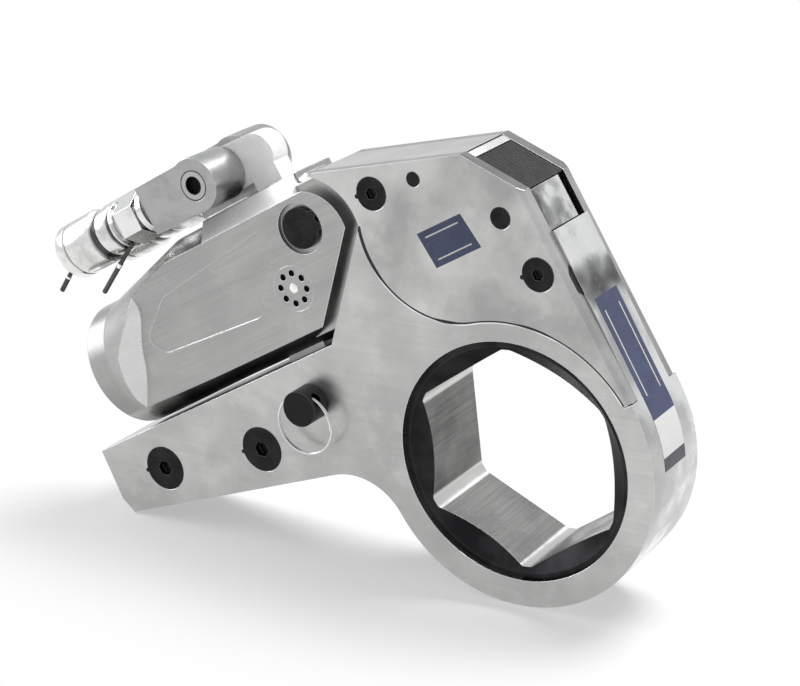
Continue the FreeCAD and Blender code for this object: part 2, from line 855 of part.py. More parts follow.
def make_ratchet():
    body = new_body("hex_ratchet")
    front = FRONT + "ratchet_recess"
    length = size("link_thickness") - "ratchet_recess" + "ratchet_overhang"
    hub = new_sketch(body, at=front)
    draw_circle(hub, CENTRE, "journal_radius")
    pad(body, hub, length)
    band = new_sketch(body)
    draw_circle(band, CENTRE, TOOTH_TIP)
    pad(body, band, "tooth_band", middle=True)
    pitch = 360.0 / size("tooth_count")
    gap = new_sketch(body)
    over = TOOTH_TIP + 0.5
    draw_path(gap, polar("tooth_root_radius", 0.0), polar(over, 0.0), polar(over, pitch * 0.92),
              polar("tooth_root_radius", 0.0))
    cut = pocket(body, gap, size("tooth_band") + 1.0, middle=True)
    teeth = body.newObject("PartDesign::PolarPattern", "teeth")
    teeth.Originals = [cut]
    teeth.Axis = ([f for f in body.Origin.OriginFeatures if f.Role == "Y_Axis"][0], [""])
    teeth.Angle = 360.0
    teeth.Occurrences = int(sheet.get("tooth_count"))
    teeth.setExpression("Occurrences", "Sizes.tooth_count")
    body.Tip = teeth
    doc.recompute()
    hexagon = new_sketch(body, at=front)
    corner = size("hex_across") / 2.0 / cosine(30.0)
    points = [polar(corner, size("hex_turn") + 60.0 * step) for step in range(6)]
    draw_path(hexagon, points[0], *(points[1:] + points[:1]))
    pocket(body, hexagon, length)
    relief = new_sketch(body, at=front)
    for step in range(6):
        draw_circle(relief, polar(corner - "relief_depth", size("hex_turn") + 60.0 * step), "relief_radius")
    pocket(body, relief, length)
    groove = new_sketch(body, at=HALF + "snap_ring_gap_y")
    draw_circle(groove, CENTRE, size("journal_radius") + 1.0)
    draw_circle(groove, CENTRE, size("journal_radius") - "snap_groove_depth")
    pocket(body, groove, "snap_ring_thickness")
    return body


def make_snap_ring():
    body = new_body("retaining_ring")
    outline = new_sketch(body, at=HALF + "snap_ring_gap_y")
    inner = size("journal_radius") - "snap_groove_depth" + "pin_gap"
    outer = inner + "snap_ring_width"
    low = size("snap_ring_gap") / 2.0
    high = 360.0 - low
    draw_path(outline, polar(inner, low), polar(outer, low), (polar(outer, high), CENTRE, outer, 1),
              polar(inner, high), (polar(inner, low), CENTRE, inner, -1))
    pad(body, outline, size("snap_ring_thickness"))
    return body


def make_bushing():
    body = new_body("back_bushing")
    ring = new_sketch(body, at=HALF - "bushing_thickness")
    draw_circle(ring, CENTRE, BORE - "pin_gap")
    draw_circle(ring, CENTRE, SEAT)
    pad(body, ring, "bushing_thickness")
    return body


def pad_along(body, sketch, length):
    """Material from a YZ or XY sketch along the plane's own normal."""
    return feature(body, "Pad", sketch, length)


def pocket_along(body, sketch, length):
    """A cut from a YZ or XY sketch along the plane's own normal."""
    before = body.Tip
    item = feature(body, "Pocket", sketch, length, backwards=True)
    doc.recompute()
    if item.Shape.Volume > before.Shape.Volume - 1e-6:
        raise ValueError("%s: the pocket cuts nothing" % body.Label)
    return item


def untilt(place):
    """A point of the whole tool's frame, seen in the power head's frame."""
    return (place[0] * cosine("head_tilt") + place[1] * sine("head_tilt"),
            place[1] * cosine("head_tilt") - place[0] * sine("head_tilt"))


# Drive lever: two arms that turn on the ratchet's journals, on both sides of
# the teeth, joined by the drive pin and by the block that guides the pawl.

LEVER_INNER = size("tooth_band") / 2.0 + "lever_gap"


def make_lever_plate(label, at):
    body = new_body(label)
    arm = new_sketch(body, at=at)
    lever_path(arm, "lever_angle", 0.0)
    pad(body, arm, "lever_thickness")
    ring = new_sketch(body, at=at)
    draw_circle(ring, CENTRE, TOOTH_TIP)
    pad(body, ring, "lever_thickness")
    holes = new_sketch(body, at=at)
    draw_circle(holes, CENTRE, SEAT)
    draw_circle(holes, LEVER_PIN, size("drive_pin_radius") + "pin_gap")
    pocket(body, holes, "lever_thickness")
    return body


def make_drive_pin():
    body = new_body("drive_pin")
    outline = new_sketch(body)
    draw_circle(outline, LEVER_PIN, "drive_pin_radius")
    pad(body, outline, (LEVER_INNER + "lever_thickness") * 2.0, middle=True)
    return body


def pawl_reach():
    return TOOTH_TIP + "pawl_clear"


def make_pawl():
    body = new_body("drive_pawl")
    low = size("lever_angle") - "pawl_half_angle"
    high = size("lever_angle") + "pawl_half_angle"
    inner = pawl_reach()
    outer = inner + "pawl_height"
    outline = new_sketch(body)
    draw_path(outline, polar(inner, low), polar(outer, low), (polar(outer, high), CENTRE, outer, 1),
              polar(inner, high), (polar(inner, low), CENTRE, inner, -1))
    pad(body, outline, LEVER_INNER * 2.0 - 0.4, middle=True)
    pitch = 360.0 / size("tooth_count")
    notches = new_sketch(body)
    for step in range(2):
        at = low + 1.6 + pitch * float(step)
        draw_path(notches, polar(inner - 0.5, at), polar(inner - 0.5, at + pitch * 0.9),
                  polar(inner + "tooth_depth", at + pitch * 0.9), polar(inner - 0.5, at))
    pocket(body, notches, LEVER_INNER * 2.0 + 1.0, middle=True)
    return body


def make_pawl_block():
    body = new_body("pawl_block")
    inner = pawl_reach() + "pawl_height" + "pawl_lift" + "pawl_clear"
    outer = inner + "block_height"
    low = size("lever_angle") - "pawl_half_angle" - 0.6
    high = size("lever_angle") + "pawl_half_angle" + 0.6
    foot = pawl_reach() + 1.0
    outline = new_sketch(body)
    edge_low = low - "cheek_angle"
    edge_high = high + "cheek_angle"
    draw_path(outline, polar(foot, edge_low), polar(outer, low + 1.0),
              (polar(outer, high - 1.0), CENTRE, outer, 1),
              polar(foot, edge_high), polar(foot, high), polar(inner, high),
              (polar(inner, low), CENTRE, inner, -1), polar(foot, low), polar(foot, edge_low))
    pad(body, outline, LEVER_INNER * 2.0 - 0.02, middle=True)
    return body


def make_reaction_pawl():
    body = new_body("reaction_pawl")
    tip = polar(pawl_reach() + "reaction_tip", "reaction_angle")
    outline = new_sketch(body)
    hull_path(outline, PAWL_SCREW, "reaction_boss", tip, "reaction_tip")
    pad(body, outline, LEVER_INNER * 2.0 - 0.4, middle=True)
    hole = new_sketch(body)
    draw_circle(hole, PAWL_SCREW, size("screw_radius") + "pin_gap")
    pocket(body, hole, LEVER_INNER * 2.0, middle=True)
    return body


# Piston and rod: the rod ends in an eye with an upright slot, in which the
# drive pin rises and falls while the lever swings.

def make_piston():
    body = new_body("piston", tilted=True)
    outline = new_sketch(body, plane="YZ_Plane", at="piston_rear")
    draw_circle(outline, (size(0.0), size("bore_axis")), size("bore_radius") - "piston_gap")
    pad_along(body, outline, "piston_length")
    return body


def make_rod():
    body = new_body("piston_rod", tilted=True)
    pin = untilt(LEVER_PIN)
    start = size("piston_rear") + "piston_length"
    shaft = new_sketch(body, plane="YZ_Plane", at=start)
    draw_circle(shaft, (size(0.0), size("bore_axis")), "rod_radius")
    pad_along(body, shaft, pin[0] - start)
    eye = new_sketch(body)
    middle = (pin[0], pin[1] - "eye_drop")
    draw_circle(eye, middle, "eye_radius")
    pad(body, eye, LEVER_INNER * 2.0 - 0.5, middle=True)
    slot = new_sketch(body)
    wide = size("drive_pin_radius") + "eye_gap"
    high = (middle[0], middle[1] + "eye_slot")
    low = (middle[0], middle[1] - "eye_slot")
    draw_path(slot, (low[0] + wide, low[1]), (high[0] + wide, high[1]),
              ((high[0] - wide, high[1]), high, wide, 1), (low[0] - wide, low[1]),
              ((low[0] + wide, low[1]), low, wide, 1))
    pocket(body, slot, LEVER_INNER * 2.0 + 1.0, middle=True)
    return body


# Cylinder body: a round forging, milled flat on both sides to the link's
# thickness, with a bevelled nose and a lug that the quick pin locks.

def make_cylinder():
    body = new_body("cylinder_body", tilted=True)
    rear = new_sketch(body, plane="YZ_Plane", at="body_taper_end")
    draw_circle(rear, (size(0.0), size("bore_axis")), "cap_radius")
    front = new_sketch(body, plane="YZ_Plane", at="body_taper_start")
    draw_circle(front, (size(0.0), size("body_axis")), "body_radius")
    taper = body.newObject("PartDesign::AdditiveLoft", "taper")
    taper.Profile = rear
    taper.Sections = [front]
    taper.Ruled = True
    barrel = new_sketch(body, plane="YZ_Plane", at="body_taper_start")
    draw_circle(barrel, (size(0.0), size("body_axis")), "body_radius")
    nose_tip = size("nose_centre") + "nose_radius" + 2.0
    pad_along(body, barrel, nose_tip - "body_taper_start")
    doc.recompute()

    # flats on both sides, ending in a shoulder at the full-round rear
    low = size("body_axis") - "body_radius" - 5.0
    high = size("body_axis") + "body_radius" + 5.0
    for at in (size("body_radius") * -1.0 - 1.0, size("head_flat") / 2.0):
        flat = new_sketch(body, at=at)
        draw_path(flat, ("shoulder_low_u", low), (nose_tip + 5.0, low), (nose_tip + 5.0, high),
                  (size("shoulder_top_u") + 8.0, high), ("shoulder_top_u", "shoulder_top_v"),
                  ("shoulder_middle_u", "shoulder_middle_v"), ("shoulder_low_u", "shoulder_low_v"),
                  ("shoulder_low_u", low))
        pocket(body, flat, size("body_radius") + 1.0 - size("head_flat") / 2.0)

    # nose: a bevel below and a rounded front, both chamfered at the flats
    turn = size("bevel_angle")
    centre = (size("nose_centre"), size("nose_height"))
    reach_line = centre[0] * cosine(turn) + centre[1] * sine(turn) + "bevel_reach"

    def nose_path(sketch, inwards):
        radius = size("nose_radius") - inwards
        line = reach_line - inwards
        corner = circle_meets_line(centre, radius, line, turn, 1)
        foot = lines_meet(line, turn, low, 90.0)
        draw_path(sketch, foot, (nose_tip + 5.0, low), (nose_tip + 5.0, high + 5.0), (centre[0], high + 5.0),
                  (centre[0], centre[1] + radius), (corner, centre, radius, -1), foot)

    nose = new_sketch(body)
    nose_path(nose, 0.0)
    pocket(body, nose, size("body_radius") * 2.0 + 2.0, middle=True)
    for side in (-1.0, 1.0):
        rim = new_sketch(body, at=size("head_flat") / 2.0 * side)
        nose_path(rim, "nose_chamfer")
        cut = feature(body, "Pocket", rim, "nose_chamfer", backwards=side > 0)
        cut.TaperAngle = 45.0
        doc.recompute()

    # swivel pad on top and lug below
    pad_rear = size("pad_rear")
    pad_box = new_sketch(body)
    draw_box(pad_box, pad_rear, size("body_axis") + 20.0, "pad_front", "pad_top")
    pad(body, pad_box, "pad_width", middle=True)
    lug = new_sketch(body)
    half = size("lug_length") / 2.0
    pin = (size("pin_u"), size("pin_v"))
    draw_path(lug, (pin[0] - half, pin[1]), ((pin[0] + half, pin[1]), pin, half, 1),
              (pin[0] + half, size("bore_axis") - "bore_radius" - 6.0),
              (pin[0] - half, size("bore_axis") - "bore_radius" - 6.0), (pin[0] - half, pin[1]))
    pad(body, lug, "lug_width", middle=True)
    pin_hole = new_sketch(body)
    draw_circle(pin_hole, pin, size("pin_radius") + "pin_gap")
    pocket(body, pin_hole, size("lug_width") + 1.0, middle=True)

    # room for the lever and the rod's eye inside the nose
    lever = untilt(LEVER_PIN)
    room = size("lever_head") + "cavity_gap" + "pin_gap"
    space = new_sketch(body)
    draw_path(space, (lever[0] - room, low), (lever[0] + room, low), (lever[0] + room, lever[1] + room),
              (lever[0], lever[1] + room), ((lever[0] - room, lever[1]), lever, room, 1),
              (lever[0] - room, low))
    pocket(body, space, INNER * 2.0 + 0.4, middle=True)

    # slot for the hook tongue and hole for its pin
    tongue = new_sketch(body)
    hook = (size("hook_u"), size("hook_v"))
    far_end = untilt(hook_root())
    past = between(hook, far_end, 1.6)
    hull_path(tongue, hook, size("hook_radius") + "hook_wall" + "lug_gap",
              past, size("spacer_thickness") + 4.0)
    pocket(body, tongue, size("hook_width") + size("lug_gap") * 2.0, middle=True)
    face_y = -size("head_flat") / 2.0
    hook_hole = new_sketch(body, at=face_y)
    draw_circle(hook_hole, hook, size("hook_radius") + "pin_gap")
    pocket(body, hook_hole, size("head_flat") - 3.0)
    recess = new_sketch(body, at=face_y)
    draw_circle(recess, hook, "pin_recess_radius")
    pocket(body, recess, "pin_head_height")
    emblem = new_sketch(body, at=face_y)
    draw_circle(emblem, ("plug_u", "plug_v"), "plug_radius")
    pocket(body, emblem, "plug_depth")

    # shallow panels on both cheeks
    for at in (face_y, size("head_flat") / 2.0 - "panel_depth"):
        panel = new_sketch(body, at=at)
        rounded_path(panel, "panel_corner", ("panel_rear_u", "panel_rear_v"),
                     ("panel_heel_u", "panel_heel_v"), ("panel_toe_u", "panel_toe_v"),
                     ("panel_front_u", "panel_front_v"), ("panel_peak_u", "panel_peak_v"),
                     ("panel_back_u", "panel_back_v"))
        pocket(body, panel, "panel_depth")

    # bore, rod passage and swivel bore
    bore = new_sketch(body, plane="YZ_Plane", at="body_taper_end")
    draw_circle(bore, (size(0.0), size("bore_axis")), "bore_radius")
    pocket_along(body, bore, size("bore_end") - "body_taper_end")
    passage = new_sketch(body, plane="YZ_Plane", at=size("bore_end") - 1.0)
    draw_circle(passage, (size(0.0), size("bore_axis")), size("rod_radius") + "rod_gap")
    pocket_along(body, passage, 50.0)
    socket = new_sketch(body, plane="XY_Plane", at=size("pad_top") - "spigot_depth" - 0.3)
    draw_circle(socket, (size("post_u"), size(0.0)), size("spigot_radius") + "journal_gap")
    pocket_along(body, socket, size("spigot_depth") + 5.0)
    return body


def make_cap():
    body = new_body("end_cap", tilted=True)
    disc = new_sketch(body, plane="YZ_Plane", at=size("body_taper_end") - "cap_thickness")
    draw_circle(disc, (size(0.0), size("bore_axis")), "cap_radius")
    pad_along(body, disc, "cap_thickness")
    holes = new_sketch(body, plane="YZ_Plane", at=size("body_taper_end") - "cap_thickness")
    for side in (1.0, -1.0):
        draw_circle(holes, (size("spanner_hole_reach") * side, size("bore_axis")), "spanner_hole_radius")
    pocket_along(body, holes, "spanner_hole_depth")
    rear = sheet.get("body_taper_end") - sheet.get("cap_thickness") + 0.01
    rim = sheet.get("cap_radius") - 0.05

    def on_rim(local):
        return local.x < rear and math.hypot(local.y, local.z - sheet.get("bore_axis")) > rim

    chamfer(body, on_rim, "edge_chamfer")
    return body


def make_gland():
    body = new_body("rod_gland", tilted=True)
    ring = new_sketch(body, plane="YZ_Plane", at=size("bore_end") - "gland_length")
    draw_circle(ring, (size(0.0), size("bore_axis")), size("bore_radius") - 0.02)
    draw_circle(ring, (size(0.0), size("bore_axis")), size("rod_radius") + "piston_gap")
    pad_along(body, ring, size("gland_length") - 0.02)
    return body


# Pins that join link and power head

def make_hook_pin():
    """Pin in the nose: a flat head with two small lugs, and its shank."""
    body = new_body("hook_pin", tilted=True)
    hook = (size("hook_u"), size("hook_v"))
    face_y = -size("head_flat") / 2.0
    head = new_sketch(body, at=face_y + 0.2)
    draw_circle(head, hook, "pin_head_radius")
    pad(body, head, size("pin_head_height") - 0.2)
    shank = new_sketch(body, at=face_y + "pin_head_height")
    draw_circle(shank, hook, "hook_radius")
    pad(body, shank, size("head_flat") - "pin_head_height" - 3.5)
    for angle in (0.0, 35.0):
        lug = new_sketch(body, at=face_y + 0.2)
        draw_circle(lug, polar(size("pin_head_radius") + 0.2, size("pin_lug_angle") - angle, hook), "pin_lug_radius")
        pad(body, lug, size("pin_head_height") - 0.2)
    return body


def make_face_plug():
    body = new_body("face_plug", tilted=True)
    disc = new_sketch(body, at=-size("head_flat") / 2.0)
    middle = (size("plug_u"), size("plug_v"))
    draw_circle(disc, middle, size("plug_radius") - 0.03)
    pad(body, disc, "plug_depth")
    holes = new_sketch(body, at=-size("head_flat") / 2.0)
    for index in range(8):
        draw_circle(holes, polar("plug_hole_reach", 22.5 + 45.0 * index, middle), "plug_hole_radius")
    pocket(body, holes, "plug_hole_depth")
    return body


def make_quick_pin():
    """Quick-release pin that locks the lug of the power head in the tail."""
    body = new_body("quick_pin")
    shank = new_sketch(body, at=FRONT)
    draw_circle(shank, QUICK_PIN, "pin_radius")
    pad(body, shank, size("link_thickness") - 0.5)
    return body


def make_quick_knob():
    body = new_body("quick_pin_knob")
    knob = new_sketch(body, at=FRONT - "knob_gap" - "knob_height")
    draw_circle(knob, QUICK_PIN, "knob_radius")
    pad(body, knob, size("knob_height") + "knob_gap" - 0.3)
    neck = new_sketch(body, at=FRONT - "knob_gap")
    draw_circle(neck, QUICK_PIN, size("pin_radius") - 1.0)
    pad(body, neck, "knob_gap")
    hole = new_sketch(body, plane="YZ_Plane", at=QUICK_PIN[0] - "knob_radius" - 1.0)
    ring = size("split_ring_radius")
    drop = ring - "ring_hole_rise"
    cross = (ring * ring - size("knob_radius") * "knob_radius" - drop * drop) / (2.0 * drop)
    draw_circle(hole, (FRONT - "knob_gap" - size("knob_height") + "ring_hole_y",
                       QUICK_PIN[1] + (size("ring_hole_rise") + cross) / 2.0),
                (size("ring_hole_rise") - cross) / 2.0 + "wire_radius" + "wire_gap")
    pocket_along(body, hole, size("knob_radius") * 2.0 + 2.0)
    return body


# Split ring in the knob: a wire ring with its ends side by side

def make_split_ring():
    radius = size("split_ring_radius")
    hole_y = FRONT - "knob_gap" - size("knob_height") + "ring_hole_y"
    ring = doc.addObject("Part::Torus", "split_ring")
    ring.Label = "split_ring"
    ring.Radius1 = radius.number
    ring.Radius2 = sheet.get("wire_radius")
    ring.setExpression("Radius1", radius.text)
    ring.setExpression("Radius2", "Sizes.wire_radius")
    place = (QUICK_PIN[0], hole_y, QUICK_PIN[1] + "ring_hole_rise" - radius)
    ring.Placement = Placement(Vector(place[0].number, place[1].number, place[2].number),
                               Rotation(Vector(1, 0, 0), 90))
    ring.setExpression("Placement.Base.x", place[0].text)
    ring.setExpression("Placement.Base.y", place[1].text)
    ring.setExpression("Placement.Base.z", place[2].text)
    return ring


# Screws, dowels and covers: turned pieces with their axes across the link

def pegs(label, places, radius, front, length, head=None, head_height=None, socket=None, back_head=False):
    """Identical round pieces, each with a shank, a flat head and a hexagon socket."""
    solids = []
    for number, place in enumerate(places, start=1):
        name = "%s_%d" % (label, number)
        parts = [peg(name + "_shank", place, radius, front, length)]
        if head is not None:
            parts.append(peg(name + "_head", place, head, front, head_height))
        if back_head:
            parts.append(peg(name + "_nut", place, head, front + size(length) - head_height, head_height))
        shape = parts[0]
        if len(parts) > 1:
            shape = doc.addObject("Part::MultiFuse", name + "_turned")
            shape.Shapes = parts
        if socket is not None:
            depth = size(head_height) * 0.75
            prism = doc.addObject("Part::Prism", name + "_socket")
            prism.Polygon = 6
            prism.Circumradius = size(socket).number
            prism.setExpression("Circumradius", size(socket).text)
            prism.Height = depth.number
            prism.setExpression("Height", depth.text)
            lay_across(prism, place, front)
            cut = doc.addObject("Part::Cut", name + "_body")
            cut.Base = shape
            cut.Tool = prism
            shape = cut
        solids.append(shape)
    if len(solids) == 1:
        solids[0].Label = label
        return solids[0]
    group = doc.addObject("Part::Compound", label)
    group.Label = label
    group.Links = solids
    return group


def lay_across(item, place, y):
    """Turns an upright primitive so that it runs from a Y value towards +Y."""
    y = size(y)
    item.Placement = Placement(Vector(place[0].number, y.number, place[1].number),
                               Rotation(Vector(1, 0, 0), -90))
    item.setExpression("Placement.Base.x", place[0].text)
    item.setExpression("Placement.Base.y", y.text)
    item.setExpression("Placement.Base.z", place[1].text)


def peg(name, place, radius, y, length):
    radius = size(radius)
    length = size(length)
    item = doc.addObject("Part::Cylinder", name)
    item.Radius = radius.number
    item.Height = length.number
    item.setExpression("Radius", radius.text)
    item.setExpression("Height", length.text)
    lay_across(item, place, y)
    return item


def make_fasteners():
    through = size("link_thickness")
    return [
        pegs("plate_screws", (UPPER_SCREW, PAWL_SCREW), "screw_radius", FRONT, through,
             "screw_head_radius", "screw_head_height", "screw_socket", back_head=True),
        pegs("tail_screws", TAIL_SCREWS, "tail_screw_radius", FRONT, size("tail_screw_depth") - 1.0,
             "tail_screw_head", "tail_screw_height", "tail_screw_socket"),
        pegs("stop_dowel", (DOWEL,), "dowel_radius", FRONT, through),
        pegs("cover_pin", (COVER_PIN,), "cover_pin_radius", FRONT, through),
    ]


# Swivel: a post that turns in the pad on top of the cylinder. Its tongue
# carries a cross bolt, and the two arms turn on that bolt.

def make_post():
    body = new_body("swivel_post", tilted=True)
    half = size("post_length") / 2.0
    top = size("post_top") - half
    centre = (size("post_u"), top)
    foot = size("pad_top") + 0.2
    block = new_sketch(body)
    draw_path(block, (centre[0] - half, foot), (centre[0] + half, foot), (centre[0] + half, top),
              ((centre[0] - half, top), centre, half, 1), (centre[0] - half, foot))
    pad(body, block, "post_width", middle=True)
    spigot = new_sketch(body, plane="XY_Plane", at=foot - "spigot_depth")
    draw_circle(spigot, (size("post_u"), size(0.0)), "spigot_radius")
    pad_along(body, spigot, "spigot_depth")
    tongue = new_sketch(body)
    pivot = (size("swivel_u"), size("swivel_v"))
    hull_path(tongue, pivot, "tongue_radius", (size("post_u"), pivot[1]), size("tongue_radius") - 1.0)
    pad(body, tongue, "post_width", middle=True)
    hole = new_sketch(body)
    draw_circle(hole, pivot, size("bolt_radius") + "journal_gap")
    pocket(body, hole, size("post_width") + 1.0, middle=True)
    return body


def make_arm(label, front, boss, side):
    """An arm with a round boss on the cross bolt and a square bar to its coupler."""
    body = new_body(label, tilted=True)
    pivot = (size("swivel_u"), size("swivel_v"))
    boss = size(boss)
    bar = new_sketch(body, at=front)
    end = size("arm_end")
    draw_box(bar, end, pivot[1] - boss + 0.7, pivot[0], pivot[1] + boss - 0.7)
    pad(body, bar, "arm_width")
    disc = new_sketch(body, at=front)
    draw_circle(disc, pivot, boss)
    pad(body, disc, "arm_width")
    hole = new_sketch(body, at=front)
    draw_circle(hole, pivot, size("bolt_radius") + 0.05)
    pocket(body, hole, "arm_width")
    seat = new_sketch(body, at=front if side < 0 else size(front) + "arm_width" - "bolt_head_height")
    draw_circle(seat, pivot, size("bolt_head_radius") + 0.1)
    pocket(body, seat, "bolt_head_height")
    return body


def make_cross_bolt():
    pivot = tilt("swivel_u", "swivel_v")
    front = -size("arm_inner") - "arm_width"
    return pegs("cross_bolt", (pivot,), "bolt_radius", front, size("arm_inner") * 2.0 + size("arm_width") * 2.0,
                "bolt_head_radius", "bolt_head_height", "bolt_socket", back_head=True)


def make_coupler(label, y, scale_radius):
    """Coupling nipple: neck, flange, hexagon and spigot, turned about the arm's own line."""
    body = new_body(label, tilted=True)
    line = (size(y), size("swivel_v"))
    start = size("arm_end")
    places = (("coupler_neck", "neck_length"), ("coupler_flange", "flange_length"),
              ("coupler_neck", "relief_length"))
    for radius, length in places:
        start = start - length
        ring = new_sketch(body, plane="YZ_Plane", at=start)
        draw_circle(ring, line, size(radius) + scale_radius)
        pad_along(body, ring, length)
    start = start - "coupler_hex_length"
    hexagon = new_sketch(body, plane="YZ_Plane", at=start)
    corner = (size("coupler_hex") / 2.0 + scale_radius) / cosine(30.0)
    points = [polar(corner, 60.0 * step + 30.0, line) for step in range(6)]
    draw_path(hexagon, points[0], *(points[1:] + points[:1]))
    pad_along(body, hexagon, "coupler_hex_length")
    stub = new_sketch(body, plane="YZ_Plane", at=start - "stub_length")
    draw_circle(stub, line, size("stub_radius") + scale_radius)
    pad_along(body, stub, "stub_length")
    bore = new_sketch(body, plane="YZ_Plane", at=start - "stub_length" - 1.0)
    draw_circle(bore, line, "coupler_bore")
    pocket_along(body, bore, size("stub_length") - 3.0)
    return body


def make_sleeve(label, y, scale_radius):
    """Locking sleeve that slides on the nipple's spigot, with a wide grip end."""
    body = new_body(label, tilted=True)
    line = (size(y), size("swivel_v"))
    start = (size("arm_end") - "neck_length" - "flange_length" - "relief_length"
             - "coupler_hex_length" - "sleeve_travel")
    outline = new_sketch(body, plane="YZ_Plane", at=start - "sleeve_length")
    draw_circle(outline, line, size("sleeve_radius") + scale_radius)
    pad_along(body, outline, "sleeve_length")
    grip = new_sketch(body, plane="YZ_Plane", at=start - "sleeve_length")
    draw_circle(grip, line, size("grip_radius") + scale_radius)
    pad_along(body, grip, "grip_length")
    hole = new_sketch(body, plane="YZ_Plane", at=start - "sleeve_length" - 1.0)
    draw_circle(hole, line, size("stub_radius") + scale_radius + "sleeve_gap")
    pocket_along(body, hole, size("sleeve_length") + 2.0)
    return body


# All pieces, checked and written

def make_all():
    front_arm = -size("arm_inner") - "arm_width"
    front_line = front_arm + size("arm_width") / 2.0
    back_line = size("arm_inner") + size("arm_width") / 2.0
    pieces = [
        make_housing(),
        make_plate("side_plate_front", FRONT, FRONT),
        make_plate("side_plate_back", INNER, HALF - "screw_head_height"),
        make_spacer(),
        make_stop_block(),
        make_bushing(),
        make_ratchet(),
        make_snap_ring(),
        make_lever_plate("drive_plate_front", -LEVER_INNER - "lever_thickness"),
        make_lever_plate("drive_plate_back", LEVER_INNER),
        make_drive_pin(),
        make_pawl(),
        make_pawl_block(),
        make_reaction_pawl(),
        make_piston(),
        make_rod(),
        make_cylinder(),
        make_cap(),
        make_gland(),
        make_hook_pin(),
        make_face_plug(),
        make_quick_pin(),
        make_quick_knob(),
        make_split_ring(),
        make_post(),
        make_arm("arm_front", front_arm, "front_boss", -1),
        make_arm("arm_back", "arm_inner", "back_boss", 1),
        make_cross_bolt(),
        make_coupler("coupler_front", front_line, 0.0),
        make_coupler("coupler_back", back_line, "back_extra"),
        make_sleeve("sleeve_front", front_line, 0.0),
        make_sleeve("sleeve_back", back_line, "back_extra"),
    ]
    return pieces + make_fasteners()


pieces = make_all()
doc.recompute()
for item in doc.Objects:
    if "Invalid" in item.State or "Error" in item.State:
        raise ValueError("%s did not build: %s" % (item.Label, item.State))
for piece in pieces:
    if piece.Shape.isNull() or not piece.Shape.isValid():
        raise ValueError("%s has no valid shape" % piece.Label)
for piece in pieces:
    piece.Shape.exportStep("parts/%s.step" % piece.Label)
    print("%-20s %2d solids %9.0f mm3" % (piece.Label, len(piece.Shape.Solids), piece.Shape.Volume))
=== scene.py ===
import math

import bmesh
import bpy
from mathutils import Matrix, Vector


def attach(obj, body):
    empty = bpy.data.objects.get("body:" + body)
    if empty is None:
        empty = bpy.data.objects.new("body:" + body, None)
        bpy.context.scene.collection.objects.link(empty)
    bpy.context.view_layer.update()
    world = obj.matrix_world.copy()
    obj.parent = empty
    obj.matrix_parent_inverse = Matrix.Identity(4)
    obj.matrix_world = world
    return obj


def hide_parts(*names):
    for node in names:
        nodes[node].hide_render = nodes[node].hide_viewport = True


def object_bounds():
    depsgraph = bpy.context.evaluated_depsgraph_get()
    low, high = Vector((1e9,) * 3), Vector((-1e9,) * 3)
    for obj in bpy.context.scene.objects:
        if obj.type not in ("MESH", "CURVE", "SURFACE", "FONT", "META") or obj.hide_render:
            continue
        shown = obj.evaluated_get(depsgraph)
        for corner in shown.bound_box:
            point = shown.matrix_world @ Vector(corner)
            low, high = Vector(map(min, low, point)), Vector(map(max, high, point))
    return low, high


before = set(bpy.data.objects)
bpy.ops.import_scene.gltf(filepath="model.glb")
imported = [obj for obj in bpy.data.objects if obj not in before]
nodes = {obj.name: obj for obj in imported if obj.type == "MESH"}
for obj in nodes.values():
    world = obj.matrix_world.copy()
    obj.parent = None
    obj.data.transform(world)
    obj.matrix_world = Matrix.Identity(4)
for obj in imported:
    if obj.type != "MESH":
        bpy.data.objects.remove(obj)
cad_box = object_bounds()


# --- Link housing -----------------------------------------------------------
# The heavy flat link: one plate of nickel-plated steel with the ring, the horn
# and the reaction tail, milled and then ground on both faces along the tail.

class Wire:
    """One output of a finish's nodes, so that sums on it add its Math nodes."""

    def __init__(self, finish, socket):
        self.finish, self.socket = finish, socket

    def math(self, operation, first, second=0.0):
        return self.finish.node("Math", {"operation": operation}, {0: first, 1: second})

    def __add__(self, other):
        return self.math("ADD", self, other)

    def __radd__(self, other):
        return self.math("ADD", other, self)

    def __sub__(self, other):
        return self.math("SUBTRACT", self, other)

    def __rsub__(self, other):
        return self.math("SUBTRACT", other, self)

    def __mul__(self, other):
        return self.math("MULTIPLY", self, other)

    def __pow__(self, other):
        return self.math("POWER", self, other)

    def __abs__(self):
        return self.math("ABSOLUTE", self)

    def __gt__(self, other):
        return self.math("GREATER_THAN", self, other)

    def __lt__(self, other):
        return self.math("LESS_THAN", self, other)


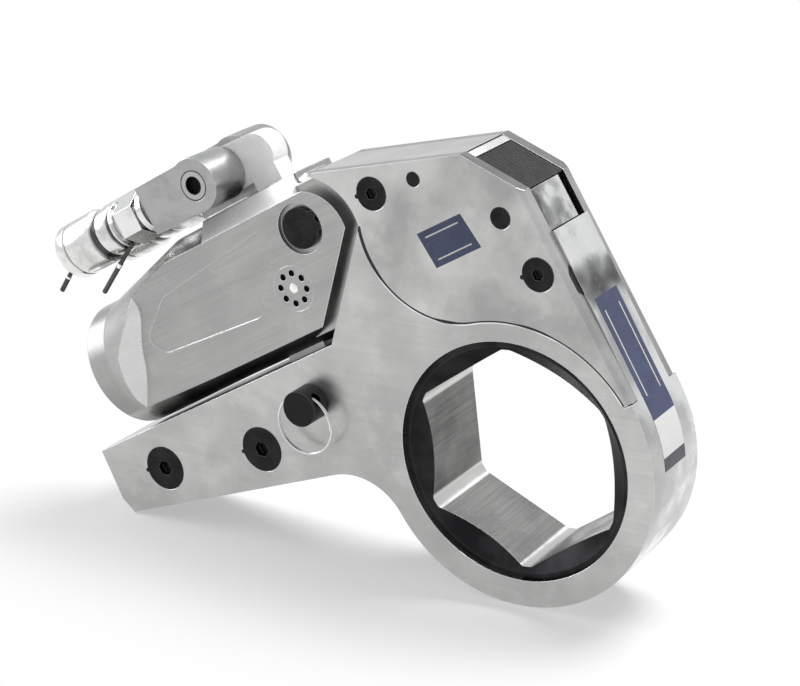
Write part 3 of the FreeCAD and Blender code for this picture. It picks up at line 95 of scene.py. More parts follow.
class Finish:
    """The surface of one material: its shader and the nodes that vary it."""

    def __init__(self, name):
        self.material = bpy.data.materials.new(name)
        self.material.use_nodes = True
        self.tree = self.material.node_tree
        self.shader = self.tree.nodes["Principled BSDF"]

    def node(self, kind, settings=None, sockets=None, output=0):
        """Any node: its settings are set first, then its sockets' values or wires."""
        made = self.tree.nodes.new("ShaderNode" + kind)
        for key, value in (settings or {}).items():
            setattr(made, key, value)
        for key, value in (sockets or {}).items():
            if isinstance(value, Wire):
                self.tree.links.new(value.socket, made.inputs[key])
            else:
                made.inputs[key].default_value = value
        return Wire(self, made.outputs[output])

    def axis(self, place, index=0):
        """One coordinate of a place."""
        return self.node("SeparateXYZ", {}, {0: place}, index)

    def dot(self, first, second):
        """How far two directions agree, or how far a place lies along one."""
        return self.node("VectorMath", {"operation": "DOT_PRODUCT"}, {0: first, 1: second}, "Value")

    def most(self, first, second):
        """The larger of two values."""
        return self.node("Math", {"operation": "MAXIMUM"}, {0: first, 1: second})

    def rise(self, value, low, high, start=0.0, end=1.0):
        """A soft step from start to end as the value goes from low to high."""
        return self.node("MapRange", {"interpolation_type": "SMOOTHSTEP"},
                         {0: value, 1: low, 2: high, 3: start, 4: end})

    def blend(self, share, first, second):
        """A colour between two, each a wire or three numbers."""
        sockets = {0: share}
        for key, colour in ((6, first), (7, second)):
            sockets[key] = colour if isinstance(colour, Wire) else (*colour, 1.0)
        return self.node("Mix", {"data_type": "RGBA"}, sockets, 2)

    def noise(self, place, scale, detail=3.0, roughness=0.55):
        return self.node("TexNoise", {}, {"Vector": place, "Scale": scale,
                                          "Detail": detail, "Roughness": roughness})

    def grain(self, place, turn, along, across, detail=3.0):
        """Fine lines one way: noise drawn out along an axis turned about Y."""
        turned = self.node("Mapping", {}, {"Vector": place, "Rotation": (0.0, turn, 0.0)})
        drawn = self.node("Mapping", {}, {"Vector": turned, "Scale": (along, across, across)})
        return self.noise(drawn, 1.0, detail, 0.6)

    def edges(self, radius, low=0.015, high=0.22):
        """The rounded normal of the edges, and how much of an edge a place is."""
        soft = self.node("Bevel", {"samples": 6}, {"Radius": radius})
        plain = self.node("NewGeometry", output="Normal")
        same = self.dot(soft, plain)
        return soft, self.rise(1.0 - same, low, high)

    def lay(self, colour, roughness, height=None, depth=0.0, soft=None):
        """Joins the shader: colour, roughness and the height of the fine relief."""
        for key, value in (("Base Color", colour), ("Roughness", roughness)):
            if isinstance(value, Wire):
                self.tree.links.new(value.socket, self.shader.inputs[key])
            else:
                self.shader.inputs[key].default_value = value
        if height is not None:
            sockets = {"Height": height, "Distance": depth, "Strength": 1.0}
            if soft is not None:
                sockets["Normal"] = soft
            soft = self.node("Bump", {}, sockets)
        if soft is not None:
            self.tree.links.new(soft.socket, self.shader.inputs["Normal"])
        return self.material


joint_ring = 0.057475                 # radius of the joint round the ring
bulge_x, bulge_z = -0.02683, 0.09319  # middle of the joint's second arc
bulge_radius = 0.039525
wall_normal = (0.866, 0.0, 0.5)       # the straight wall on the right
head_along = (0.87207, 0.0, 0.48938)  # the power head's two axes
head_up = (-0.48938, 0.0, 0.87207)
# Black painted as shade: in the plate joints, on the slot floor and in the gap beside the wall's step.
shade_black = (0.02, 0.02, 0.02)


def seams(finish, place):
    """Painted shade along the joint between plates and ring, by how near a place on the faces is to it,
    and a painted highlight on the joint's lip.
    """
    x = finish.axis(place)
    z = finish.axis(place, 2)
    centre = (x * x + z * z) ** 0.5
    width = finish.rise(finish.noise(place, 28.0, 2.0), 0.42, 0.60, 0.00030, 0.00080)
    round_ring = abs(centre - joint_ring) - width < 0.0
    left, up = x - bulge_x, z - bulge_z
    bulge = (left * left + up * up) ** 0.5
    round_bulge = abs(bulge - bulge_radius) - width < 0.0
    # A bright band beside the joint is a painted highlight on its lip.
    highlight_ring = (centre < 0.0576) * (centre > 0.0566)
    highlight_bulge = (bulge > 0.0394) * (bulge < 0.0404)
    on_ring = (x > -0.0162) * (z > 0.0322)
    on_bulge = (up < -0.0060) * (left < 0.0110)
    dark = finish.most(round_ring * on_ring, round_bulge * on_bulge)
    lip_highlight = finish.most(highlight_ring * on_ring, highlight_bulge * on_bulge)
    return dark, lip_highlight * finish.rise(finish.noise(place, 34.0, 2.0), 0.38, 0.58, 0.25, 1.0)


def ground_steel(name, turn, tone, patch, rough, lines=0.5, extra=None):
    """Plated steel, ground one way: fine lines, cloudy patches, bright worn edges."""
    finish = Finish(name)
    finish.shader.inputs["Metallic"].default_value = 1.0
    place = finish.node("TexCoord", output="Object")
    fine = finish.grain(place, turn, 28.0, 1500.0)
    broad = finish.grain(place, turn, 9.0, 160.0, 2.0)
    cloud = finish.rise(finish.noise(place, 24.0, 4.0), 0.34, 0.68)
    smear = finish.rise(finish.noise(place, 75.0, 5.0, 0.62), 0.5, 0.72)
    soft, edge = finish.edges(0.0006)
    pale = tuple(part * tone for part in (1.0, 0.995, 0.98))
    dull = tuple(part * (tone - patch) for part in (1.0, 0.995, 0.985))
    colour = finish.blend(cloud, dull, pale)
    scratched = finish.rise(fine, 0.3, 0.75) * 0.3 * lines + finish.rise(broad, 0.35, 0.7) * 0.16 * lines
    colour = finish.blend(scratched, colour, tuple(part * 0.62 for part in pale))
    colour = finish.blend(smear * 0.22, colour, tuple(min(0.95, part * 1.22) for part in pale))
    colour = finish.blend(edge * 0.75, colour, (0.93, 0.93, 0.92))
    roughness = rough + (cloud - 0.5) * 0.10 + (fine - 0.5) * 0.16 - smear * 0.05 - edge * 0.12
    if extra is not None:
        colour, roughness = extra(finish, place, colour, roughness)
    return finish.lay(colour, roughness, fine, 0.00003 * lines, soft)


def wear(name, material):
    """Gives a node of the frame its finish in every slot."""
    slots = nodes[name].data.materials
    for index in range(max(1, len(slots))):
        if len(slots) == 0:
            slots.append(material)
        else:
            slots[index] = material


def wall_polish_and_painted_light(finish, place, colour, roughness):
    """The outer wall is polished, with bright and dark patches painted as reflections; painted shade
    lies in the plate joints and on the slot floor.
    """
    normal = finish.node("NewGeometry", output="Normal")
    flat_place = finish.node("VectorMath", {"operation": "MULTIPLY"}, {0: place, 1: (1.0, 0.0, 1.0)})
    outward = finish.node("VectorMath", {"operation": "NORMALIZE"}, {0: flat_place})
    straight = finish.dot(normal, wall_normal)
    curved = finish.dot(normal, outward)
    x = finish.axis(place)
    wall = finish.most(straight > 0.985, (curved > 0.96) * (x > 0.0))
    marks = finish.rise(finish.noise(place, 55.0, 6.0, 0.68), 0.42, 0.66)
    along_wall = finish.dot(place, (-0.5, 0.0, 0.866))
    # Bright and dark patches painted as reflections on the polished wall: denser in a band along it, and
    # darker further along it.
    darker_band = finish.rise(along_wall, 0.0630, 0.0490) * finish.rise(along_wall, 0.0380, 0.0480)
    patches = finish.rise(finish.noise(place, 21.0, 3.0, 0.5) + darker_band * 0.14 + (marks - 0.5) * 0.08
                          - finish.rise(along_wall, 0.055, 0.062) * 0.07, 0.40, 0.62)
    dark_blotch = finish.blend(finish.rise(along_wall, 0.018, 0.042), (0.40, 0.40, 0.40), (0.09, 0.09, 0.09))
    shine = finish.blend(patches, (0.86, 0.86, 0.85), dark_blotch)
    shine = finish.blend(marks * 0.45, shine, (0.62, 0.62, 0.61))
    colour = finish.blend(wall, colour, shine)
    joint, lip_highlight = seams(finish, place)
    upward = finish.dot(normal, head_up)
    level = finish.dot(place, head_up)
    run = finish.dot(place, head_along)
    # The floor of the slot is painted black as shade.
    slot_floor = (upward > 0.9) * (level < 0.0780) * finish.rise(run, -0.1500, -0.1440)
    colour = finish.blend(slot_floor * 0.9, colour, shade_black)
    colour = finish.blend(lip_highlight * 0.8, colour, (0.95, 0.95, 0.94))
    colour = finish.blend(joint * 0.92, colour, shade_black)
    return colour, roughness * (1.0 - wall) + wall * (0.14 + marks * 0.16) + joint * 0.3


link_steel = ground_steel("ground_link_steel", 0.0, 0.60, 0.16, 0.33, 0.7, wall_polish_and_painted_light)
wear("link_housing", link_steel)


# --- Side plates ------------------------------------------------------------
# Two flat cover plates, laser-cut and tumbled, so that their faces show soft
# cloudy smudges and only faint lines; their outer edges have bright chamfers.

def plate_joint(finish, place, colour, roughness):
    """Painted shade in the joint with the ring and a painted highlight on its lip, a painted shadow of a
    gap beside the wall's step, and darker edges facing the window.
    """
    joint, lip_highlight = seams(finish, place)
    colour = finish.blend(lip_highlight * 0.6, colour, (0.95, 0.95, 0.94))
    x = finish.axis(place)
    y = finish.axis(place, 1)
    z = finish.axis(place, 2)
    out = x * 0.8660254 + z * 0.5
    far = z * 0.8660254 - x * 0.5
    # A painted shadow of a gap: a dark wedge on the plate's edge beside the wall's step.
    depth = finish.rise(far, 0.0455, 0.0500, 0.0, 1.0) * finish.rise(far, 0.0560, 0.0625, 1.0, 0.0)
    gap = (out > 0.0600) * (y > -0.0166 + (1.0 - depth) * 0.004) * (y < 0.0) * (depth > 0.02)
    dark = finish.most(joint, gap)
    normal = finish.node("NewGeometry", output="Normal")
    slope = finish.dot(normal, (0.3827, 0.0, 0.9239))
    side = finish.dot(normal, wall_normal)
    # Edge faces and chamfers turned towards the window are painted darker, in blotches.
    dark_blotch = finish.rise(finish.noise(place, 60.0, 4.0), 0.35, 0.65, 0.75, 1.0)
    colour = finish.blend((slope > 0.93) * dark_blotch * 0.9, colour, (0.16, 0.16, 0.16))
    lower_chamfer = (slope > 0.62) * (slope < 0.93) * (side < 0.8)
    colour = finish.blend(lower_chamfer * dark_blotch * 0.7, colour, (0.24, 0.24, 0.24))
    return finish.blend(dark * 0.93, colour, shade_black), roughness + dark * 0.25


plate_steel = ground_steel("tumbled_plate_steel", math.radians(70.0), 0.62, 0.26, 0.28, 0.35,
                           plate_joint)
for name in ("side_plate_front", "side_plate_back"):
    wear(name, plate_steel)


# --- Ratchet ----------------------------------------------------------------
# One wheel of hardened steel. Its turned faces and dished rim are black oxide;
# the six flats of the hexagon are broached and oily, with bright corners.

ratchet = Finish("ratchet_steel")
ratchet.shader.inputs["Metallic"].default_value = 1.0
place = ratchet.node("TexCoord", output="Object")
split = ratchet.axis(place)
depth = ratchet.axis(place, 1)
wide = ratchet.axis(place, 2)
reach = (split * split + wide * wide) ** 0.5
facing = ratchet.node("NewGeometry", output="True Normal")
facing_y = ratchet.axis(facing, 1)
flat_wall = (1.0 - (facing_y * facing_y > 0.04)) * (reach < 0.0468)
drawn = ratchet.node("Mapping", {}, {"Vector": place, "Scale": (1300.0, 26.0, 1300.0)})
broach = ratchet.noise(drawn, 1.0, 3.0)
cloud = ratchet.rise(ratchet.noise(place, 60.0, 4.0), 0.35, 0.7)
soft, edge = ratchet.edges(0.0006)
corner = ratchet.rise(reach, 0.0442, 0.0448)
bare = ratchet.blend(ratchet.rise(broach, 0.3, 0.7) * 0.4 + cloud * 0.3,
                     (0.20, 0.198, 0.194), (0.07, 0.069, 0.067))
bare = ratchet.blend(corner, bare, (0.62, 0.615, 0.60))
black = ratchet.blend(cloud, (0.016, 0.016, 0.017), (0.042, 0.042, 0.044))
black = ratchet.blend(edge * 0.5, black, (0.30, 0.30, 0.30))
ratchet.lay(ratchet.blend(flat_wall, black, bare),
            0.42 - flat_wall * 0.10 + (cloud - 0.5) * 0.14 + (broach - 0.5) * 0.1, broach, 0.00003, soft)


def settle(name, mesh, body, *finishes, smooth=40.0):
    """Makes the piece's object from its bmesh, with its place in the mesh."""
    bmesh.ops.remove_doubles(mesh, verts=mesh.verts, dist=1e-7)
    bmesh.ops.recalc_face_normals(mesh, faces=mesh.faces)
    data = bpy.data.meshes.new(name)
    mesh.to_mesh(data)
    mesh.free()
    for finish in finishes:
        data.materials.append(finish)
    piece = bpy.data.objects.new(name, data)
    bpy.context.collection.objects.link(piece)
    data.shade_smooth()
    data.set_sharp_from_angle(angle=math.radians(smooth))
    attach(piece, body)
    return piece


def turned(profile, steps=48):
    """A body of revolution about Z from a list of (radius, height), in millimetres."""
    mesh = bmesh.new()
    points = [mesh.verts.new((radius / 1000.0, 0.0, height / 1000.0)) for radius, height in profile]
    lines = [mesh.edges.new(pair) for pair in zip(points, points[1:])]
    bmesh.ops.spin(mesh, geom=points + lines, cent=(0, 0, 0), axis=(0, 0, 1),
                   angle=math.tau, steps=steps, use_merge=True)
    bmesh.ops.remove_doubles(mesh, verts=mesh.verts, dist=1e-7)
    return mesh


def along(direction, place):
    """Turns a mesh's Z axis to a direction and sets it at a place."""
    return Matrix.Translation(place) @ Vector(direction).to_track_quat("Z", "Y").to_matrix().to_4x4()


wheel = bmesh.new()
wheel.from_mesh(nodes["hex_ratchet"].data)
bmesh.ops.remove_doubles(wheel, verts=wheel.verts, dist=1e-6)
inner = []
for face in wheel.faces:
    middle = face.calc_center_median().y
    in_bore = all(math.hypot(v.co.x, v.co.z) < 0.0485 for v in face.verts) and abs(face.normal.y) < 0.5
    at_end = abs(face.normal.y) > 0.99 and (middle < -0.0171 or middle > 0.0247)
    if in_bore or at_end:
        inner.append(face)
bmesh.ops.delete(wheel, geom=inner, context="FACES")
mouth = turned([(49.44, -17.2), (47.0, -17.2), (43.0, -14.0), (43.0, 0.0), (43.0, 24.2),
                (43.6, 24.8), (49.44, 24.8)], 288)
bmesh.ops.rotate(mouth, cent=(0, 0, 0), matrix=Matrix.Rotation(math.radians(-90.0), 3, "X"),
                 verts=mouth.verts)
for vert in mouth.verts:
    around = math.atan2(vert.co.z, vert.co.x)
    reach_out = math.hypot(vert.co.x, vert.co.z)
    if reach_out < 0.0465:
        flat = (math.degrees(around) - 4.8 - 30.0 + 30.0) % 60.0 - 30.0
        wall = min(0.040 / math.cos(math.radians(30.0 - abs(flat))), 0.0451)
        if vert.co.y < -0.013:
            vert.co.y = -0.0172 + (0.0470 - wall) / 1.24
        grown = wall + (0.0006 if vert.co.y > 0.0245 else 0.0)
        vert.co.x, vert.co.z = grown * math.cos(around), grown * math.sin(around)
holder = bpy.data.meshes.new("mouth")
mouth.to_mesh(holder)
mouth.free()
wheel.from_mesh(holder)
bpy.data.meshes.remove(holder)
wheel_piece = settle("dished_ratchet", wheel, "ratchet", ratchet.material, smooth=30.0)
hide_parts("hex_ratchet")


# --- Bearing ring, retaining ring and inner steel ---------------------------
# The parts that the plates mostly hide: hardened lever arms, drive pin, pawls
# and block, and the spring-steel ring behind the ratchet, oiled and dark.

def oiled_steel(name, tone, rough):
    """Hardened steel with a film of oil: dark patches, fine turning lines."""
    finish = Finish(name)
    finish.shader.inputs["Metallic"].default_value = 1.0
    place = finish.node("TexCoord", output="Object")
    fine = finish.grain(place, 0.0, 300.0, 1400.0)
    cloud = finish.rise(finish.noise(place, 70.0, 4.0), 0.35, 0.7)
    soft, edge = finish.edges(0.0004)
    colour = finish.blend(cloud, (tone, tone, tone * 0.98), (tone * 0.62, tone * 0.62, tone * 0.6))
    colour = finish.blend(edge * 0.7, colour, (min(0.9, tone * 1.8),) * 3)
    return finish.lay(colour, rough + (cloud - 0.5) * 0.12 + (fine - 0.5) * 0.12, fine, 0.00002, soft)


tool_steel = oiled_steel("oiled_tool_steel", 0.40, 0.34)
for name in ("back_bushing", "drive_plate_front", "drive_plate_back", "drive_pin",
             "drive_pawl", "pawl_block", "reaction_pawl", "piston"):
    wear(name, tool_steel)
wear("retaining_ring", oiled_steel("spring_ring_steel", 0.16, 0.38))


# --- Black oxide pieces -----------------------------------------------------
# The stop block in the window, the screws, dowels and pins: turned or milled
# steel, blackened in hot salts, with grey wear on the edges and in sockets.

def black_oxide(name, tone, rough, turn=0.0, lines=0.4):
    finish = Finish(name)
    finish.shader.inputs["Metallic"].default_value = 0.85
    place = finish.node("TexCoord", output="Object")
    fine = finish.grain(place, turn, 60.0, 1500.0)
    cloud = finish.rise(finish.noise(place, 180.0, 4.0), 0.35, 0.7)
    soft, edge = finish.edges(0.00035)
    colour = finish.blend(cloud, (tone, tone, tone * 1.04), (tone * 2.1, tone * 2.1, tone * 2.15))
    colour = finish.blend(finish.rise(fine, 0.5, 0.8) * lines, colour, (tone * 3.6,) * 3)
    colour = finish.blend(edge * 0.6, colour, (0.34, 0.34, 0.34))
    return finish.lay(colour, rough + (cloud - 0.5) * 0.16 + (fine - 0.5) * 0.1,
                      fine, 0.00003 * lines, soft)


screw_black = black_oxide("blackened_screws", 0.012, 0.44)
for name in ("plate_screws", "tail_screws", "stop_dowel", "cover_pin", "hook_pin", "quick_pin"):
    wear(name, screw_black)
wear("stop_block", black_oxide("blackened_block", 0.014, 0.46, math.radians(-30.0), 0.8))


# --- Top spacer -------------------------------------------------------------
# The bar between the plates along the top edge, milled and left bright, with
# the marks of the cutter across it.

spacer_steel = ground_steel("milled_spacer_steel", math.radians(-12.6), 0.62, 0.08, 0.38, 0.6)
wear("top_spacer", spacer_steel)


# --- Window covers ----------------------------------------------------------
# The window over the stop block is closed by a ribbed black cover let in flush
# with the plates, a bright end bar beside the spacer and a polished side plate.

def thicken(mesh, faces, shift):
    """Draws faces out by a shift, so that a sheet or an outline becomes solid."""
    grown = bmesh.ops.extrude_face_region(mesh, geom=faces)
    bmesh.ops.translate(mesh, vec=shift,
                        verts=[v for v in grown["geom"] if isinstance(v, bmesh.types.BMVert)])


def slab(name, normal, distance, start, end, front, back, thick, finish, ribs=0):
    """A thin cover on a plane across the link, by its span along the plane and in Y."""
    turn = math.radians(normal)
    out = Vector((math.cos(turn), 0.0, math.sin(turn)))
    way = Vector((-math.sin(turn), 0.0, math.cos(turn)))
    mesh = bmesh.new()
    rows = max(1, ribs * 2)
    bmesh.ops.create_grid(mesh, x_segments=1, y_segments=rows, size=0.5)
    for vert in mesh.verts:
        row = round((vert.co.y + 0.5) * rows)
        lift = 0.45 if ribs and row % 2 else 0.0
        across = front + (back - front) * (vert.co.y + 0.5)
        run = start + (end - start) * (vert.co.x + 0.5)
        vert.co = (out * (distance - lift) + way * run + Vector((0.0, across, 0.0))) / 1000.0
    thicken(mesh, list(mesh.faces), out * (-thick / 1000.0))
    return settle(name, mesh, "link", finish, smooth=20.0)


def mottled_chrome(name):
    """Polished plate with wiping marks, and bright and dark patches painted as reflections, brighter
    towards the back.
    """
    finish = Finish(name)
    finish.shader.inputs["Metallic"].default_value = 1.0
    place = finish.node("TexCoord", output="Object")
    marks = finish.rise(finish.noise(place, 140.0, 6.0, 0.7), 0.44, 0.62)
    y = finish.axis(place, 1)
    uneven = finish.noise(place, 70.0, 4.0, 0.5) - finish.rise(y, -0.008, 0.012) * 0.22 + 0.10
    patches = finish.rise(uneven, 0.38, 0.60)
    soft, edge = finish.edges(0.0004)
    # Painted reflections: bright and dark patches, brighter towards the back.
    colour = finish.blend(patches, (0.84, 0.84, 0.83), (0.12, 0.12, 0.12))
    colour = finish.blend(marks * 0.5, colour, (0.52, 0.52, 0.51))
    colour = finish.blend(edge * 0.7, colour, (0.95, 0.95, 0.94))
    return finish.lay(colour, 0.16 + marks * 0.18, marks, 0.00002, soft)


slab("window_cover", 67.5, 103.75, 36.4, 60.3, -13.6, 12.9, 1.2,
     black_oxide("ribbed_black", 0.008, 0.50, math.radians(22.5), 0.4), ribs=11)
slab("window_end", 67.5, 104.0, 60.5, 64.1, -13.6, 13.6, 1.4, spacer_steel)
slab("window_side", 30.0, 60.3, 74.1, 91.3, -13.6, 8.9, 1.25, mottled_chrome("mottled_side_plate"))


# --- Power head -------------------------------------------------------------
# The cylinder body with its flat cheeks: nickel-plated, cheeks brushed along
# the cylinder, the round back turned, all its chamfers bright.

head_turn = math.radians(29.3)
head_steel = ground_steel("brushed_head_steel", head_turn, 0.46, 0.08, 0.32, 1.0)
wear("cylinder_body", head_steel)
wear("end_cap", ground_steel("turned_cap_steel", head_turn + math.radians(90.0), 0.42, 0.08, 0.3, 0.7))
wear("rod_gland", oiled_steel("gland_bronze", 0.5, 0.3))


# --- Shoulders of the power head --------------------------------------------
# Two milled bevels join the flat cheeks to the pad on top, over its whole length. A near-white, little
# metallic copy of the head's steel paints them as one broad bright band, a painted highlight.

def tilt(u, y, v):
    """A place in the power head's own axes, in millimetres, as a vector in metres."""
    return Vector((u * math.cos(head_turn) - v * math.sin(head_turn), y,
                   u * math.sin(head_turn) + v * math.cos(head_turn))) / 1000.0


shoulders = bmesh.new()
for side in (-1.0, 1.0):
    outline = [shoulders.verts.new(tilt(-90.0, side * y, v))
               for y, v in ((19.48, 129.6), (19.48, 130.6), (12.4, 138.35), (12.0, 132.0))]
    thicken(shoulders, [shoulders.faces.new(outline)], tilt(53.0, 0.0, 0.0))
# A painted highlight: a near-white, little metallic copy of the head's steel.
painted_highlight_bevel = ground_steel("painted_bright_bevel_steel", head_turn, 0.95, 0.03, 0.30, 0.2)
painted_highlight_bevel.node_tree.nodes["Principled BSDF"].inputs["Metallic"].default_value = 0.35
settle("head_shoulders", shoulders, "link", painted_highlight_bevel)


# --- Run-outs of the flats --------------------------------------------------
# Each cheek's flat runs out towards the round rear in a crescent, where the cutter left the forging. The
# crescent is painted bright as a highlight, with the shoulders' near-white finish.

def shoulder_u(v):
    """How far back the flat's shoulder lies at a height in the head's axes."""
    for (u0, v0), (u1, v1) in (((-158.8, 60.0), (-158.8, 84.0)), ((-158.8, 84.0), (-153.0, 104.0)),
                               ((-153.0, 104.0), (-140.0, 119.0)), ((-140.0, 119.0), (-132.0, 142.0))):
        if v <= v1:
            return u0 + (u1 - u0) * (v - v0) / (v1 - v0)
    return -132.0


for name, side in (("flat_runout_front", -1.0), ("flat_runout_back", 1.0)):
    crescent = bmesh.new()
    bmesh.ops.create_grid(crescent, x_segments=3, y_segments=48, size=0.5)
    for vert in crescent.verts:
        v = 79.4 + 45.2 * (vert.co.y + 0.5)
        u = shoulder_u(v)
        share = (u + 160.0) / 47.0
        round_y = max(0.0, (27.4 + 5.0 * share) ** 2 - (v - 98.9 - 5.7 * share) ** 2) ** 0.5
        height = max(0.0, round_y - 19.5)
        column = round((vert.co.x + 0.5) * 3.0)
        if column == 1:
            near = sum(shoulder_u(v + step) for step in (-5.0, -2.5, 0.0, 2.5, 5.0)) / 5.0
            vert.co = tilt(near + 0.3 + height * 0.85, side * 19.48, v)
        elif column == 2:
            vert.co = tilt(u - 0.5, side * 19.2, v)
        else:
            vert.co = tilt(u - 0.05, side * (19.5 + height), v)
    settle(name, crescent, "link", painted_highlight_bevel, smooth=50.0)


# --- Bright pieces ----------------------------------------------------------
# Chromed rod, swivel post, arms, couplers and their sleeves: turned and
# polished, with soft smudges and the faint rings of the lathe.

def chrome(name, tone, rough, turn=head_turn, along=40.0, across=900.0):
    finish = Finish(name)
    finish.shader.inputs["Metallic"].default_value = 1.0
    place = finish.node("TexCoord", output="Object")
    fine = finish.grain(place, turn, along, across)
    smear = finish.rise(finish.noise(place, 110.0, 5.0, 0.6), 0.42, 0.7)
    soft, edge = finish.edges(0.0004)
    colour = finish.blend(smear, (tone, tone, tone * 0.99), (tone * 0.84, tone * 0.84, tone * 0.83))
    colour = finish.blend(finish.rise(fine, 0.55, 0.8) * 0.2, colour, (tone * 0.6,) * 3)
    colour = finish.blend(edge * 0.6, colour, (0.96, 0.96, 0.95))
    return finish.lay(colour, rough + smear * 0.1 + (fine - 0.5) * 0.08, fine, 0.000012, soft)


arm_steel = chrome("polished_arm_steel", 0.42, 0.28)
post_chrome = chrome("polished_post_chrome", 0.92, 0.2)
sleeve_chrome = chrome("turned_sleeve_chrome", 0.80, 0.15, head_turn, 700.0, 60.0)
for name in ("arm_front", "arm_back"):
    wear(name, arm_steel)
wear("piston_rod", post_chrome)
# The swivel post has a near-white, barely metallic copy of the polished finish: a painted highlight, so
# that it reads white.
painted_highlight_post = chrome("polished_post", 0.97, 0.24)
painted_highlight_post.node_tree.nodes["Principled BSDF"].inputs["Metallic"].default_value = 0.2
wear("swivel_post", painted_highlight_post)
for name in ("coupler_front", "coupler_back"):
    wear(name, sleeve_chrome)


def socket_shade(x0, z0, hole, groove):
    """Paints shade into the socket of a bolt and into the fine groove round its head."""
    def paint(finish, place, colour, roughness):
        x = finish.axis(place) - x0
        z = finish.axis(place, 2) - z0
        far = (x * x + z * z) ** 0.5
        near_groove = abs(far - groove)
        dark = finish.most(finish.rise(far, hole - 0.0001, hole + 0.0003, 1.0, 0.0),
                           finish.rise(near_groove, 0.00015, 0.0004, 0.85, 0.0))
        return finish.blend(dark, colour, (0.012, 0.012, 0.012)), roughness + dark * 0.3
    return paint


# The bolt's socket and its head's groove are painted dark as shade.
bolt_steel = ground_steel("turned_bolt_steel", 0.0, 0.50, 0.08, 0.28, 0.3,
                          socket_shade(-0.13985, 0.09616, 0.00375, 0.0061))
wear("cross_bolt", bolt_steel)


def plug_hole_shade(finish, place, colour, roughness):
    """The eight spanner holes are painted nearly black inside, as shade."""
    y = finish.axis(place, 1)
    # Painted shade inside the holes.
    inside = finish.rise(y, -0.01945, -0.0192)
    return finish.blend(inside, colour, (0.010, 0.010, 0.010)), roughness - inside * 0.15


wear("face_plug", ground_steel("brushed_plug_steel", head_turn, 0.46, 0.08, 0.34, 1.0, plug_hole_shade))


# --- Plug screw -------------------------------------------------------------
# The round cover in the cheek is held by one polished dome screw in the middle
# of its eight spanner holes.

dome = turned([(0.0, 0.35), (0.9, 0.3), (1.8, 0.1), (2.4, -0.25), (2.7, -0.7), (2.7, -1.4), (0.0, -1.4)])
bmesh.ops.transform(dome, matrix=along((0, -1, 0), tilt(-57.4, -19.5, 97.6)), verts=dome.verts)
settle("plug_screw", dome, "link", post_chrome)


# --- Quick pin's knob -------------------------------------------------------
# The knob of the pin that locks the power head: turned, its grip knurled in
# fine diamonds, and blackened. The split ring goes through its cross hole.

knob_x, knob_z = -0.0918764, 0.0094457
knob = Finish("knurled_black")
knob.shader.inputs["Metallic"].default_value = 0.7
place = knob.node("TexCoord", output="Object")
x = knob.axis(place) - knob_x
y = knob.axis(place, 1)
z = knob.axis(place, 2) - knob_z
angle = knob.node("Math", {"operation": "ARCTAN2"}, {0: z, 1: x})
one = knob.node("Math", {"operation": "SINE"}, {0: angle * 34.0 + y * 4530.0})
two = knob.node("Math", {"operation": "SINE"}, {0: angle * 34.0 - y * 4530.0})
on_side = (x * x + z * z) ** 0.5 > 0.0073
diamonds = (one * two * 0.5 + 0.5) * on_side
cloud = knob.rise(knob.noise(place, 220.0, 4.0), 0.35, 0.7)
soft, edge = knob.edges(0.0005)
tint = knob.blend(diamonds * 0.7, (0.010, 0.010, 0.010), (0.060, 0.060, 0.062))
tint = knob.blend(edge * 0.45, tint, (0.26, 0.26, 0.26))
wear("quick_pin_knob", knob.lay(tint, 0.42 + (cloud - 0.5) * 0.16, diamonds, 0.00035, soft))


# --- Split ring -------------------------------------------------------------
# A ring of round spring wire wound nearly twice, which hangs in the knob's
# cross hole and takes the lanyard that keeps the pin from getting lost.

coil = bmesh.new()
bmesh.ops.create_circle(coil, cap_ends=True, radius=0.00042, segments=12,
                        matrix=Matrix.Translation((0.0127, -0.00078, 0.0)))
bmesh.ops.spin(coil, geom=list(coil.faces), cent=(0, 0, 0), axis=(0, 1, 0), dvec=(0.0, 0.0000135, 0.0),
               angle=math.radians(-690.0), steps=115, use_merge=False)
bmesh.ops.transform(coil, matrix=Matrix.Translation((knob_x, -0.0252, knob_z + 0.0048 - 0.0127)),
                    verts=coil.verts)
ring_piece = settle("wound_split_ring", coil, "split_ring_body", chrome("spring_wire", 0.8, 0.16))
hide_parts("split_ring")


# --- Coupling sleeves -------------------------------------------------------
# Each coupler has a turned locking sleeve that slides back to let the hose go:
# a wide grip with grooves at the open end, a waist, and a collar at the nut.

grooved = Finish("grooved_sleeve_chrome")
grooved.shader.inputs["Metallic"].default_value = 1.0
place = grooved.node("TexCoord", output="Object")
run = grooved.dot(place, head_along)
lathe = grooved.grain(place, head_turn, 900.0, 40.0)
smear = grooved.rise(grooved.noise(place, 90.0, 5.0, 0.6), 0.42, 0.7)
# Dark bands in the sleeve's three grooves are painted shade.
grooves = (grooved.rise(run, -0.1378, -0.1370) * grooved.rise(run, -0.1352, -0.1340, 1.0, 0.0)
           + grooved.rise(run, -0.1280, -0.1273) * grooved.rise(run, -0.1262, -0.1254, 1.0, 0.0)
           + grooved.rise(run, -0.1533, -0.1530) * grooved.rise(run, -0.1524, -0.1521, 1.0, 0.0) * 0.6)
soft, edge = grooved.edges(0.0004)
tint = grooved.blend(smear, (0.82, 0.82, 0.81), (0.60, 0.60, 0.59))
tint = grooved.blend(grooved.rise(lathe, 0.5, 0.8) * 0.3, tint, (0.45, 0.45, 0.45))
tint = grooved.blend(edge * 0.6, tint, (0.95, 0.95, 0.94))
tint = grooved.blend(grooves * 0.9, tint, (0.03, 0.03, 0.03))
grooved_chrome = grooved.lay(tint, 0.15 + smear * 0.12 + grooves * 0.15, lathe, 0.00002, soft)

